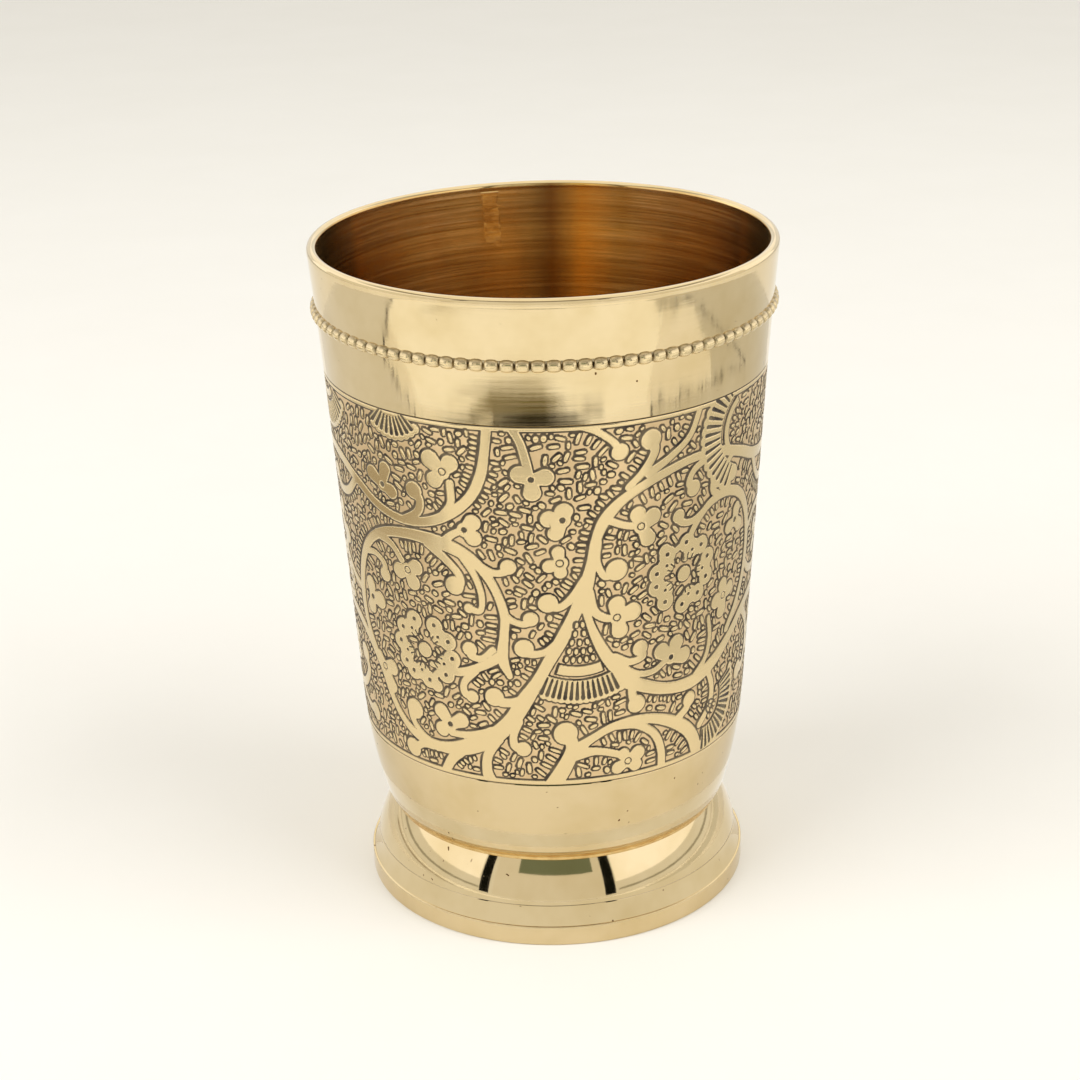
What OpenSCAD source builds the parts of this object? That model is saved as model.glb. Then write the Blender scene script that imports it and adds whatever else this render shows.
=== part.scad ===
// Footed brass water tumbler: a tapered cup of rolled sheet with a brazed lap seam,
// a brazed-in bottom disc, a soldered hoop of beaded wire and a bell-shaped foot.
// Millimetres, +Z up, origin at the centre of the base.

/* [Cup] */
// Height of the whole tumbler
total_h = 130; // [124:1:140]
// Outer diameter at the mouth
rim_d = 88; // [86:0.5:92]
// Outer diameter where the straight taper ends and the tuck begins
waist_d = 76; // [74:0.5:78]
// Height of that waist
waist_z = 42; // [40:1:46]
// How far the mouth flares beyond the straight taper
rim_flare = 0.5; // [0:0.1:1]
// Height at which the flare starts
flare_z = 105; // [95:1:108]
// Outer diameter of the heel, where the wall starts to turn under
heel_d = 69.2; // [68:0.2:70]
// Thickness of the sheet
wall_t = 1.6; // [1.2:0.1:2]
// Thickness at the rounded lip
lip_t = 1.9; // [1.6:0.1:2.2]
// Height over which the wall thins from the lip to the sheet
lip_h = 8; // [4:1:12]

/* [Engraved band] */
// Height of the line under the engraving
band_bottom_z = 34.4; // [32:0.2:38]
// Height of the line above the engraving
band_top_z = 106.6; // [100:0.2:108]
// Width of the two turned lines
line_w = 0.4; // [0.3:0.1:0.6]
// Depth of the two turned lines
line_depth = 0.15; // [0.1:0.05:0.2]

/* [Seam] */
// Direction of the lap seam, anticlockwise from +X
seam_angle = 103; // [0:1:359]
// Width of the lap filled with brazing metal
seam_w = 4.2; // [3:0.2:6]
// Depth of the lap
seam_t = 0.5; // [0.3:0.1:0.7]

/* [Bead ring] */
// Number of beads on the wire
bead_count = 100; // [90:1:100]
// Height of the ring's middle
bead_z = 118; // [114:0.2:120]
// Diameter of one bead
bead_d = 2.6; // [2.4:0.1:2.6]
// Diameter of the wire between the beads
core_d = 1.9; // [1.5:0.1:2]
// How far the beads stand out from the wall
bead_proud = 0.95; // [0.7:0.05:1.1]

/* [Foot] */
// Outer diameter of the base band
foot_d = 75.6; // [74:0.2:78]
// Height of the foot up to the cup
foot_h = 16; // [15:0.5:17]
// Height of the upright base band
base_band_h = 4; // [3:0.1:4.5]
// Outer diameter of the neck
neck_d = 65.4; // [64:0.2:66]
// Thickness of the cast foot
foot_t = 1.9; // [1.6:0.1:2.4]
// Diameter of the hole in the foot's top
foot_hole_d = 44; // [40:1:50]

/* [Brazing] */
// Thickness of the film of metal in a joint
film_t = 0.3; // [0.2:0.05:0.4]
// Thickness of the solder behind the bead ring
solder_t = 0.12; // [0.1:0.02:0.2]
// Leg of the fillet round the bottom disc
fillet_leg = 1.2; // [0.8:0.1:1.6]

/* [Hidden] */
$fn = 180;

brass = "#d9bb74";
braze = "#c9a24f";
solder = "#b9b09a";

profile_step = 1.5;                      // spacing of the points along a turned profile
fine_step = 0.6;                         // the same where the profile bends more
rim_r = rim_d / 2;
waist_r = waist_d / 2;
heel_r = heel_d / 2;
heel_z = foot_h + film_t + 3.6;          // where the wall starts to turn under
under_z = foot_h + film_t;               // underside of the cup
floor_z = under_z + wall_t;              // top of the turned-in flange
flange_r = 27;                           // hole in the turned-in flange
corner_r = 3.2;                          // roundness of the heel
corner_x = heel_r - corner_r - 0.25;     // centre of the heel's rounding
corner_cz = under_z + corner_r;
corner_end = -18;                        // angle at which the rounding meets the wall
taper = (rim_r - rim_flare - waist_r) / (total_h - waist_z);
tuck = waist_r - taper * (waist_z - heel_z) - heel_r;
tuck_power = 2.3;
flare_power = 1.5;

// Outer radius of the cup's wall at height z, above the heel.
function wall_r(z) =
    waist_r + taper * (z - waist_z)
    + (z > flare_z ? rim_flare * pow((z - flare_z) / (total_h - flare_z), flare_power) : 0)
    - (z < waist_z ? tuck * pow((waist_z - z) / (waist_z - heel_z), tuck_power) : 0);

// Thickness of the wall at height z: the lip is thicker than the sheet.
function thickness(z) =
    wall_t + (lip_t - wall_t) * max(0, min(1, (z - total_h + lip_h) / lip_h));

// Heights from a to b in near-equal steps.
function steps(a, b, step = profile_step) =
    let (n = max(1, round(abs(b - a) / step)))
    [for (i = [0:n]) a + (b - a) * i / n];

// Points of an arc round [cr, cz], from angle a to angle b.
function arc(cr, cz, r, a, b, n = 8) =
    [for (i = [0:n]) let (t = a + (b - a) * i / n) [cr + r * cos(t), cz + r * sin(t)]];

// One turned V-line, from its lower edge to its upper edge.
function turned_line(z) =
    [[wall_r(z - line_w / 2), z - line_w / 2],
     [wall_r(z) - line_depth, z],
     [wall_r(z + line_w / 2), z + line_w / 2]];

// Outer profile of the cup from the heel's underside to the start of the lip.
lip_r = lip_t / 2;
lip_z = total_h - lip_r;
lip_tilt = 12;                           // the lip's arc starts a little above level
outer_profile = concat(
    arc(corner_x, corner_cz, corner_r, -90, corner_end),
    [for (z = steps(heel_z, band_bottom_z - line_w)) [wall_r(z), z]],
    turned_line(band_bottom_z),
    [for (z = steps(band_bottom_z + line_w, band_top_z - line_w)) [wall_r(z), z]],
    turned_line(band_top_z),
    [for (z = steps(band_top_z + line_w, lip_z)) [wall_r(z), z]]);

// Inner profile, from the lip down to the flange.
inner_profile = concat(
    [for (z = steps(lip_z, heel_z)) [wall_r(z) - thickness(z), z]],
    arc(corner_x, corner_cz, corner_r - wall_t, corner_end, -90));

cup_outline = concat(
    [[flange_r, under_z]],
    outer_profile,
    arc(wall_r(lip_z) - lip_r, lip_z, lip_r, lip_tilt, 180 - lip_tilt),
    inner_profile,
    [[flange_r, floor_z]]);

// The strip of brazing metal that fills the lap, as a wedge of the wall's inner face.
module seam_band(bottom_z, top_z) {
    half_angle = asin(seam_w / 2 / waist_r);
    zs = steps(bottom_z, top_z);
    rotate([0, 0, seam_angle - half_angle])
        rotate_extrude(angle = 2 * half_angle)
            polygon(concat(
                [for (z = zs) [wall_r(z) - thickness(z), z]],
                [for (i = [len(zs) - 1:-1:0]) [wall_r(zs[i]) - thickness(zs[i]) + seam_t, zs[i]]]));
}

seam_bottom_z = heel_z + 4;
seam_top_z = lip_z - 0.6;

module cup_wall() {
    color(brass) difference() {
        rotate_extrude() polygon(cup_outline);
        seam_band(seam_bottom_z, seam_top_z);
    }
}

module seam_braze() {
    color(braze) seam_band(seam_bottom_z, seam_top_z);
}

// The bottom disc rests on the flange inside the heel.
disc_t = 1.5;
disc_r = corner_x - 0.15;                // stays on the flat of the flange

module cup_bottom() {
    color(brass) translate([0, 0, floor_z]) cylinder(h = disc_t, r = disc_r);
}

fillet_top_z = floor_z + disc_t + fillet_leg;

module bottom_braze() {
    top = floor_z + disc_t;
    color(braze) rotate_extrude() polygon(concat(
        [[disc_r - fillet_leg, top], [disc_r, top], [disc_r, floor_z]],
        arc(corner_x, corner_cz, corner_r - wall_t, -80, corner_end),
        [for (z = steps(heel_z, fillet_top_z, fine_step)) [wall_r(z) - thickness(z), z]]));
}

// A plug that follows the wall's outer face past the bead ring, grown by a gap.
module wall_core(gap) {
    low_z = bead_z - bead_d;
    translate([0, 0, low_z])
        cylinder(h = 2 * bead_d, r1 = wall_r(low_z) + gap, r2 = wall_r(low_z + 2 * bead_d) + gap);
}

ring_r = wall_r(bead_z) + bead_proud - bead_d / 2;

module bead_ring() {
    color(brass) difference() {
        union() {
            rotate_extrude() translate([ring_r, bead_z]) circle(d = core_d, $fn = 24);
            for (i = [0:bead_count - 1])
                rotate([0, 0, 360 * i / bead_count])
                    translate([ring_r, 0, bead_z]) sphere(d = bead_d, $fn = 24);
        }
        wall_core(solder_t);
    }
}

// Solder fills the gap between the wall and the wire's flat back.
module bead_solder() {
    half_h = core_d * 0.45;
    skin = 0.001;                        // keeps the faces of the three pieces apart
    zs = steps(bead_z - half_h, bead_z + half_h, fine_step);
    color(solder) rotate_extrude() polygon(concat(
        [for (z = zs) [wall_r(z) + skin, z]],
        [for (i = [len(zs) - 1:-1:0]) [wall_r(zs[i]) + solder_t - skin, zs[i]]]));
}

// Outer profile of the foot from the base to the neck: an upright band, a shallow
// cove, and a bell whose side leans in towards the neck.
foot_r = foot_d / 2;
neck_r = neck_d / 2;
edge_soft = 0.4;                         // softened edges of the base band
step_in = 0.35;                          // the cove starts this far inside the band
seat_w = 1.6;                            // width of the ring that the foot stands on
bell_round = 0.45;                       // 0 is a straight cone, 1 the fullest bell
cove_round = 0.55;                       // the same for the cove
cove_z = 7.8;                            // the bell meets the cove here
cove_r = foot_r - 1.55;

function bell_r(z) =
    let (u = (z - cove_z) / (foot_h - cove_z))
    cove_r - (cove_r - neck_r) * ((1 - bell_round) * u + bell_round * u * u);

function cove(z) =
    let (u = (cove_z - z) / (cove_z - base_band_h))
    cove_r + (foot_r - step_in - cove_r) * ((1 - cove_round) * u + cove_round * u * u);

foot_outer = concat(
    [[foot_r - edge_soft, 0], [foot_r, edge_soft], [foot_r, base_band_h - edge_soft / 2],
     [foot_r - step_in / 3, base_band_h]],
    [for (z = steps(base_band_h, cove_z, fine_step)) [cove(z), z]],
    [for (z = steps(cove_z + fine_step, foot_h, fine_step)) [bell_r(z), z]]);

foot_inner = [for (z = steps(foot_h - foot_t, base_band_h, 2 * fine_step))
    [(z > cove_z ? bell_r(z) : cove(z)) - foot_t, z]];

module foot() {
    color(brass) rotate_extrude() polygon(concat(
        foot_outer,
        [[foot_hole_d / 2, foot_h], [foot_hole_d / 2, foot_h - foot_t]],
        foot_inner,
        [[foot_r - edge_soft - seat_w, 0]]));
}

module foot_braze() {
    color(braze) translate([0, 0, foot_h]) difference() {
        cylinder(h = film_t, r = disc_r);
        translate([0, 0, -1]) cylinder(h = film_t + 2, r = flange_r + 0.5);
    }
}

cup_wall();
seam_braze();
cup_bottom();
bottom_braze();
bead_ring();
bead_solder();
foot();
foot_braze();
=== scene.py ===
import logging
import math
from dataclasses import dataclass, field
from enum import Enum
from typing import Callable, Iterator, Optional

import bpy
import numpy as np
from bpy.types import Material, Node, NodeSocket, NodeTree, Object
from mathutils import Matrix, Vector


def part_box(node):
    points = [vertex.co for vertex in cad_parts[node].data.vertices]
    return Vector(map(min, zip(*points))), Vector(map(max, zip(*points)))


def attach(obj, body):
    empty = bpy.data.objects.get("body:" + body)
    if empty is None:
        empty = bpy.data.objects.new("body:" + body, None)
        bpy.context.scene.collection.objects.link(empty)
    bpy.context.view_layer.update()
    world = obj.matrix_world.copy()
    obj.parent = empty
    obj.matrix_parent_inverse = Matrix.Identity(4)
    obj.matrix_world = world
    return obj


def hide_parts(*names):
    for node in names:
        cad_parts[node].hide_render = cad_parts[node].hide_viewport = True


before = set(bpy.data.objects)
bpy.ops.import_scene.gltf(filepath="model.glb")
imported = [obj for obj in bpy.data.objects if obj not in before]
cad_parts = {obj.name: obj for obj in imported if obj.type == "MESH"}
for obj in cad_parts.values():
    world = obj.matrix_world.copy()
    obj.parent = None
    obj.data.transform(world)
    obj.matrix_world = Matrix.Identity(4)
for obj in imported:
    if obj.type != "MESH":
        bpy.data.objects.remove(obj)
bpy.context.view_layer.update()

MM = 0.001
LOG = logging.getLogger("tumbler")


# ---- colours and nodes


def linear(hex_colour: str) -> tuple[float, float, float, float]:
    """Turn an sRGB hex colour into linear RGBA.

    Args:
        hex_colour: six hex digits, such as "e3cfa0".

    Returns:
        Linear red, green, blue and an alpha of one.
    """
    values = []
    for start in (0, 2, 4):
        c = int(hex_colour[start:start + 2], 16) / 255
        values.append(c / 12.92 if c <= 0.04045 else ((c + 0.055) / 1.055) ** 2.4)
    return values[0], values[1], values[2], 1.0


def add_node(tree: NodeTree, kind: str, settings: Optional[dict] = None,
             links: Optional[dict] = None) -> Node:
    """Add a node with its settings and its links.

    Args:
        tree: the tree that gets the node.
        kind: the node's type name.
        settings: attribute names, or input sockets by index or name, with their values.
        links: input sockets by index or name, with the output sockets that feed them.

    Returns:
        The new node.
    """
    node = tree.nodes.new(kind)
    for key, value in (settings or {}).items():
        if isinstance(key, str) and hasattr(node, key):
            setattr(node, key, value)
        else:
            node.inputs[key].default_value = value
    for key, source in (links or {}).items():
        tree.links.new(source, node.inputs[key])
    return node


class Wiring:
    """Nodes that are being laid into a tree."""

    tree: NodeTree

    def node(self, kind: str, settings: Optional[dict] = None, links: Optional[dict] = None) -> Node:
        """Add a node to the tree."""
        return add_node(self.tree, kind, settings, links)

    def math(self, operation: str, *values: float | NodeSocket) -> NodeSocket:
        """One arithmetic step on numbers and sockets.

        Args:
            operation: the step's name.
            values: its numbers and sockets in order.

        Returns:
            The step's result.
        """
        made = self.node("ShaderNodeMath", {"operation": operation})
        for slot, value in enumerate(values):
            if isinstance(value, (int, float)):
                made.inputs[slot].default_value = value
            else:
                self.tree.links.new(value, made.inputs[slot])
        return made.outputs["Value"]


# ---- finishes


class Paint(Wiring):
    """A material under construction, a bare metal until its finish is laid on."""

    def __init__(self, name: str) -> None:
        """Start with the bare metal.

        Args:
            name: the material's name.
        """
        self.made = bpy.data.materials.new(name)
        self.made.use_nodes = True
        self.tree = self.made.node_tree
        self.tree.nodes.clear()
        self.shader = self.node("ShaderNodeBsdfPrincipled", {"Metallic": 1.0})
        self.node("ShaderNodeOutputMaterial", links={"Surface": self.shader.outputs["BSDF"]})

    def link(self, slot: str, source: NodeSocket) -> None:
        """Feed one of the shader's inputs."""
        self.tree.links.new(source, self.shader.inputs[slot])

    def ring_noise(self, pitch_mm: float, stretch: float, detail: float = 2.0) -> NodeSocket:
        """Noise drawn out round the axis, as a lathe tool or a polishing mop leaves it.

        Args:
            pitch_mm: typical height of one line.
            stretch: how many times longer than its height a line is.
            detail: octaves of finer noise.

        Returns:
            The noise's value socket, about 0 to 1.
        """
        place = self.node("ShaderNodeTexCoord")
        drawn = self.node("ShaderNodeMapping", {"Scale": (1 / stretch, 1 / stretch, 1)},
                          {"Vector": place.outputs["Object"]})
        flat = self.node("ShaderNodeMapping", {"Scale": (1, 1, 0)}, {"Vector": place.outputs["Object"]})
        radius = self.node("ShaderNodeVectorMath", {"operation": "LENGTH"}, {0: flat.outputs["Vector"]})
        noise = self.node("ShaderNodeTexNoise",
                          {"noise_dimensions": "4D", "Scale": 1 / (pitch_mm * MM), "Detail": detail,
                           "Roughness": 0.55},
                          {"Vector": drawn.outputs["Vector"], "W": radius.outputs["Value"]})
        return noise.outputs["Fac"]

    def cloud(self, size_mm: float, detail: float = 3.0) -> NodeSocket:
        """Even noise of the given size, for stains and clouding.

        Args:
            size_mm: size of one cloud.
            detail: octaves of finer noise.

        Returns:
            The noise's value socket, about 0 to 1.
        """
        place = self.node("ShaderNodeTexCoord")
        noise = self.node("ShaderNodeTexNoise",
                          {"Scale": 1 / (size_mm * MM), "Detail": detail, "Roughness": 0.6},
                          {"Vector": place.outputs["Object"]})
        return noise.outputs["Fac"]

    def spread(self, source: NodeSocket, low: float, high: float,
               to_low: float = 0.0, to_high: float = 1.0) -> NodeSocket:
        """Map low..high of a value to to_low..to_high, clamped.

        Args:
            source: the value.
            low: value that gives to_low.
            high: value that gives to_high.
            to_low: result at and below low.
            to_high: result at and above high.

        Returns:
            The mapped value.
        """
        node = self.node("ShaderNodeMapRange",
                         {"From Min": low, "From Max": high, "To Min": to_low, "To Max": to_high},
                         {"Value": source})
        return node.outputs["Result"]

    def blend(self, factor: NodeSocket, first: str | NodeSocket,
              second: str | NodeSocket) -> NodeSocket:
        """Mix two colours, each a hex string or a socket, by a factor.

        Args:
            factor: 0 gives the first colour, 1 the second.
            first: the first colour.
            second: the second colour.

        Returns:
            The mixed colour.
        """
        node = self.node("ShaderNodeMix", {"data_type": "RGBA"}, {0: factor})
        for slot, colour in ((6, first), (7, second)):
            if isinstance(colour, str):
                node.inputs[slot].default_value = linear(colour)
            else:
                self.tree.links.new(colour, node.inputs[slot])
        return node.outputs[2]

    def carried(self, label: str) -> NodeSocket:
        """Read a value that the mesh carries, such as "residue"."""
        return self.node("ShaderNodeAttribute", {"attribute_name": label}).outputs["Fac"]

    def place(self) -> dict[str, NodeSocket]:
        """X, Y and Z of the shaded point, in metres in the tumbler's frame."""
        spot = self.node("ShaderNodeTexCoord")
        parts = self.node("ShaderNodeSeparateXYZ", links={0: spot.outputs["Object"]}).outputs
        return {axis: parts[axis] for axis in "XYZ"}

    def rough(self, noise: NodeSocket, low: float, high: float) -> None:
        """Let a noise spread the roughness from low to high."""
        self.link("Roughness", self.spread(noise, 0.3, 0.7, low, high))

    def brush(self, strength: float) -> None:
        """Stretch highlights across level scratches, which run round the axis.

        Args:
            strength: how much the highlights are stretched.
        """
        self.shader.inputs["Anisotropic"].default_value = strength
        self.shader.inputs["Anisotropic Rotation"].default_value = 0.25
        around = self.node("ShaderNodeTangent", {"direction_type": "RADIAL", "axis": "Z"})
        self.link("Tangent", around.outputs["Tangent"])

    def relief(self, layers: list[tuple[NodeSocket, float]]) -> None:
        """Stack fine relief on the shader.

        Args:
            layers: height sockets with their depths in millimetres.
        """
        below = None
        for height, depth_mm in layers:
            links = {"Height": height}
            if below is not None:
                links["Normal"] = below
            node = self.node("ShaderNodeBump", {"Strength": 1.0, "Distance": depth_mm * MM}, links)
            below = node.outputs["Normal"]
        self.link("Normal", below)


class Finish:
    """A surface finish that builds its own material once."""

    name: str = "finish"
    roughness: float = 0.5

    def dress(self, paint: Paint) -> None:
        """Link the pattern of this finish to the material's shader."""
        raise NotImplementedError

    def material(self) -> Material:
        """Return the finish's material, made on its first use.

        Returns:
            The material.
        """
        made = bpy.data.materials.get(self.name)
        if made is None:
            paint = Paint(self.name)
            self.dress(paint)
            made = paint.made
        return made


@dataclass(frozen=True)
class TurnedBrass(Finish):
    """Yellow brass sheet, spun and then polished on a lathe: pale gold and mirror-like, with
    fine level lines that roughen the edges of every reflection."""

    name: str = "turned_polished_brass"
    colour: str = "dbc79e"
    tarnish: str = "d0ba8c"
    roughness: float = 0.05
    line_depth_mm: float = 0.001
    pit_share: float = 0.83

    def dress(self, paint: Paint) -> None:
        """Link tarnish, turning lines and a few pits."""
        wide = paint.ring_noise(1.7, 60, 1.0)
        fine = paint.ring_noise(0.45, 40, 2.0)
        stain = paint.spread(paint.cloud(14), 0.42, 0.75)
        rare = paint.spread(paint.cloud(7.0, 0.0), 0.5, 0.6)
        specks = paint.spread(paint.cloud(0.9, 0.0), self.pit_share, self.pit_share + 0.03)
        specks = paint.math("MULTIPLY", specks, rare)
        shade = paint.blend(stain, self.colour, self.tarnish)
        dirt_and_painted_shade = paint.carried("residue")
        shade = paint.blend(specks, shade, "6a4c2a")
        paint.link("Base Color", paint.blend(dirt_and_painted_shade, shade, "3a2814"))
        grain = paint.spread(fine, 0.3, 0.7, self.roughness * 0.75, self.roughness * 1.35)
        paint.link("Roughness", paint.math("ADD", grain, paint.math("MULTIPLY", specks, 0.3)))
        paint.brush(0.4)
        paint.relief([(wide, self.line_depth_mm * 2.5), (fine, self.line_depth_mm),
                      (paint.math("MULTIPLY", specks, -1.0), 0.02)])


@dataclass(frozen=True)
class EtchedBrass(Finish):
    """Brass whose ground was bitten away with acid: the motifs keep the polish, the ground is
    a dull tan, and brown polish residue stays in the grooves round every motif, drawn wider
    on one side of each edge as painted shade."""

    name: str = "acid_etched_brass"
    top: str = "e2cc9e"
    ground: str = "dcc298"
    # colour of the groove residue, and of the painted shade on one side of each edge
    residue: str = "1a0f08"
    roughness: float = 0.17

    def dress(self, paint: Paint) -> None:
        """Link the three surfaces by the attributes that the mesh carries."""
        etched = paint.carried("etched")
        # groove residue, plus painted shade on the shade side of each edge
        dirt_and_painted_shade = paint.carried("residue")
        uneven = paint.spread(paint.cloud(3.0), 0.3, 0.7, 0.8, 1.0)
        soiled_and_painted_shade = paint.math("MULTIPLY", paint.spread(dirt_and_painted_shade, 0.2, 0.6), uneven)
        smoke = paint.spread(paint.cloud(9.0), 0.45, 0.8, 0.0, 0.3)
        smoky = paint.math("MULTIPLY", etched, smoke)
        shade = paint.blend(etched, self.top, self.ground)
        shade = paint.blend(smoky, shade, "9c7c52")
        shade = paint.blend(soiled_and_painted_shade, shade, self.residue)
        paint.link("Base Color", shade)
        paint.link("Metallic", paint.spread(soiled_and_painted_shade, 0.2, 1.0, 1.0, 0.25))
        dull = paint.math("MULTIPLY", etched, 0.2)
        rough = paint.math("ADD", paint.math("MULTIPLY", soiled_and_painted_shade, 0.28), dull)
        paint.link("Roughness", paint.math("ADD", rough, self.roughness))
        lines = paint.ring_noise(0.6, 30, 2.0)
        bitten = paint.math("MULTIPLY", paint.cloud(0.35, 2.0), etched)
        paint.relief([(lines, 0.005), (bitten, 0.012)])


@dataclass(frozen=True)
class ScouredBrass(Finish):
    """The same sheet inside the cup, scoured round and round with grit and toned by use:
    bronze-brown, with level scratches that stretch each highlight upwards, and a painted
    reflection on the back wall, a little right of the seam: a brown streak with an amber flank."""

    name: str = "scoured_brass"
    pale: str = "ebd098"
    deep: str = "dab87a"
    roughness: float = 0.15
    # where the painted reflection's brown streak and amber flank lie, in millimetres right of the axis
    painted_streak_mm: float = 1.8
    painted_flank_mm: float = 8.0

    def painted_reflection_stripe(self, paint: Paint, middle_mm: float, half_mm: float) -> NodeSocket:
        """Mix a soft upright stripe of painted reflection on the upper part of the back wall.

        Args:
            paint: the material under construction.
            middle_mm: how far to the right of the axis the stripe's middle is.
            half_mm: half the stripe's width.

        Returns:
            1 along the stripe's middle, falling to 0 at its edges.
        """
        place = paint.place()
        off = paint.math("SUBTRACT", place["X"], middle_mm * MM)
        off = paint.math("ABSOLUTE", off)
        tone = paint.spread(off, 0.0, half_mm * MM, 1.0, 0.0)
        tone = paint.math("MULTIPLY", tone, paint.spread(place["Y"], 0.01, 0.03))
        return paint.math("MULTIPLY", tone, paint.spread(place["Z"], 0.035, 0.075))

    def dress(self, paint: Paint) -> None:
        """Link scratches, streaks, stains and the two stripes of painted reflection."""
        paint.brush(0.9)
        coarse = paint.ring_noise(1.3, 34, 3.0)
        fine = paint.ring_noise(0.32, 90, 2.0)
        stain = paint.spread(paint.cloud(17), 0.4, 0.72)
        streak = paint.spread(coarse, 0.35, 0.68)
        shade = paint.blend(streak, self.deep, self.pale)
        shade = paint.blend(stain, shade, "caa365")
        drawn = paint.spread(paint.ring_noise(0.7, 46, 4.0), 0.4, 0.62)
        shade = paint.blend(paint.math("MULTIPLY", drawn, 0.6), shade, "a8854c")
        # painted reflection: the amber flank beside the streak
        shade = paint.blend(self.painted_reflection_stripe(paint, self.painted_flank_mm, 6.5), shade, "efbd62")
        # painted reflection: the brown streak on the back wall
        streak = paint.math("MULTIPLY", self.painted_reflection_stripe(paint, self.painted_streak_mm, 4.5), 0.75)
        paint.link("Base Color", paint.blend(streak, shade, "8f6230"))
        paint.rough(fine, self.roughness * 0.8, self.roughness * 1.4)
        paint.relief([(coarse, 0.015), (fine, 0.008)])


@dataclass(frozen=True)
class FiledBraze(Finish):
    """Brazing metal, run into the seam and filed back: a little redder and duller than the
    sheet, with cross scratches from the file."""

    name: str = "filed_brazing_metal"
    pale: str = "e6c88c"
    deep: str = "d3ad6c"
    roughness: float = 0.2

    def dress(self, paint: Paint) -> None:
        """Link blotches, scratches and the dark joint line that the mesh carries."""
        blotch = paint.spread(paint.cloud(2.4), 0.38, 0.66)
        scratches = paint.ring_noise(0.4, 12, 2.0)
        dirt_and_painted_shade = paint.carried("residue")
        shade = paint.blend(blotch, self.pale, self.deep)
        paint.link("Base Color", paint.blend(dirt_and_painted_shade, shade, "2e1c0c"))
        paint.rough(scratches, self.roughness * 0.8, self.roughness * 1.3)
        paint.relief([(paint.cloud(1.6), 0.03), (scratches, 0.008)])


@dataclass(frozen=True)
class BeadedBrass(Finish):
    """Brass wire rolled between grooved dies: bright crowns, with polish residue packed into
    the creases between the beads, and the upper shoulders darkened as a painted dark reflection."""

    name: str = "die_rolled_brass_wire"
    colour: str = "e8d3a6"
    # colour of the residue, and of the painted dark reflection on the upper shoulders
    residue: str = "2e1d0e"
    roughness: float = 0.16
    # height above which the beads' upper shoulders get the painted dark reflection
    crown_mm: float = 118.0

    def dress(self, paint: Paint) -> None:
        """Link the residue in the creases, and a painted dark reflection on the upper shoulders."""
        dirt_and_painted_shade = paint.carried("residue")
        # painted dark reflection: the upper halves of the beads darkened towards the residue colour
        painted_dark_reflection = paint.spread(paint.place()["Z"], (self.crown_mm + 0.1) * MM,
                                (self.crown_mm + 0.9) * MM, 0.0, 0.62)
        # residue in the creases together with the painted dark reflection
        dirt_and_painted_shade = paint.math("MAXIMUM", dirt_and_painted_shade, painted_dark_reflection)
        patches = paint.spread(paint.cloud(1.2), 0.35, 0.65, 0.55, 1.0)
        uneven = paint.math("MULTIPLY", dirt_and_painted_shade, patches)
        paint.link("Base Color", paint.blend(uneven, self.colour, self.residue))
        paint.link("Roughness", paint.spread(uneven, 0.0, 1.0, self.roughness, 0.5))
        paint.relief([(paint.cloud(0.6, 2.0), 0.012)])


@dataclass(frozen=True)
class CastBrass(Finish):
    """Cast brass left as it came from the lathe under the foot: yellow, satin, with coarse
    tool marks and casting pores."""

    name: str = "cast_turned_brass"
    pale: str = "d8bb7c"
    deep: str = "a98448"
    roughness: float = 0.36

    def dress(self, paint: Paint) -> None:
        """Link tool marks, clouding and pores."""
        marks = paint.ring_noise(0.8, 80, 2.0)
        pores = paint.spread(paint.cloud(0.9, 1.0), 0.68, 0.74)
        shade = paint.blend(paint.spread(paint.cloud(11), 0.4, 0.7), self.pale, self.deep)
        paint.link("Base Color", paint.blend(pores, shade, "5e4524"))
        paint.rough(marks, self.roughness * 0.8, self.roughness * 1.3)
        paint.relief([(marks, 0.02), (paint.math("MULTIPLY", pores, -1.0), 0.05)])


@dataclass(frozen=True)
class SoftSolder(Finish):
    """Tin solder, wiped while warm and gone grey: dull, faintly lumpy."""

    name: str = "wiped_tin_solder"
    pale: str = "b9ab8c"
    deep: str = "7c6a4a"
    roughness: float = 0.42

    def dress(self, paint: Paint) -> None:
        """Link the oxide blotches and the wiped lumps."""
        lumps = paint.cloud(1.5)
        paint.link("Base Color", paint.blend(paint.spread(lumps, 0.4, 0.65), self.pale, self.deep))
        paint.rough(lumps, self.roughness * 0.8, self.roughness * 1.3)
        paint.relief([(lumps, 0.04)])


@dataclass(frozen=True)
class SheetPaper(Finish):
    """Matte white studio paper: even and pale, with no gloss."""

    name: str = "studio_paper"
    colour: str = "f3f1ec"

    def dress(self, paint: Paint) -> None:
        """Link a barely visible paper tone."""
        paint.shader.inputs["Metallic"].default_value = 0.0
        paint.shader.inputs["Roughness"].default_value = 0.9
        paint.link("Base Color", paint.blend(paint.cloud(60), self.colour, "efede7"))


# ---- meshes and geometry trees


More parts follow.
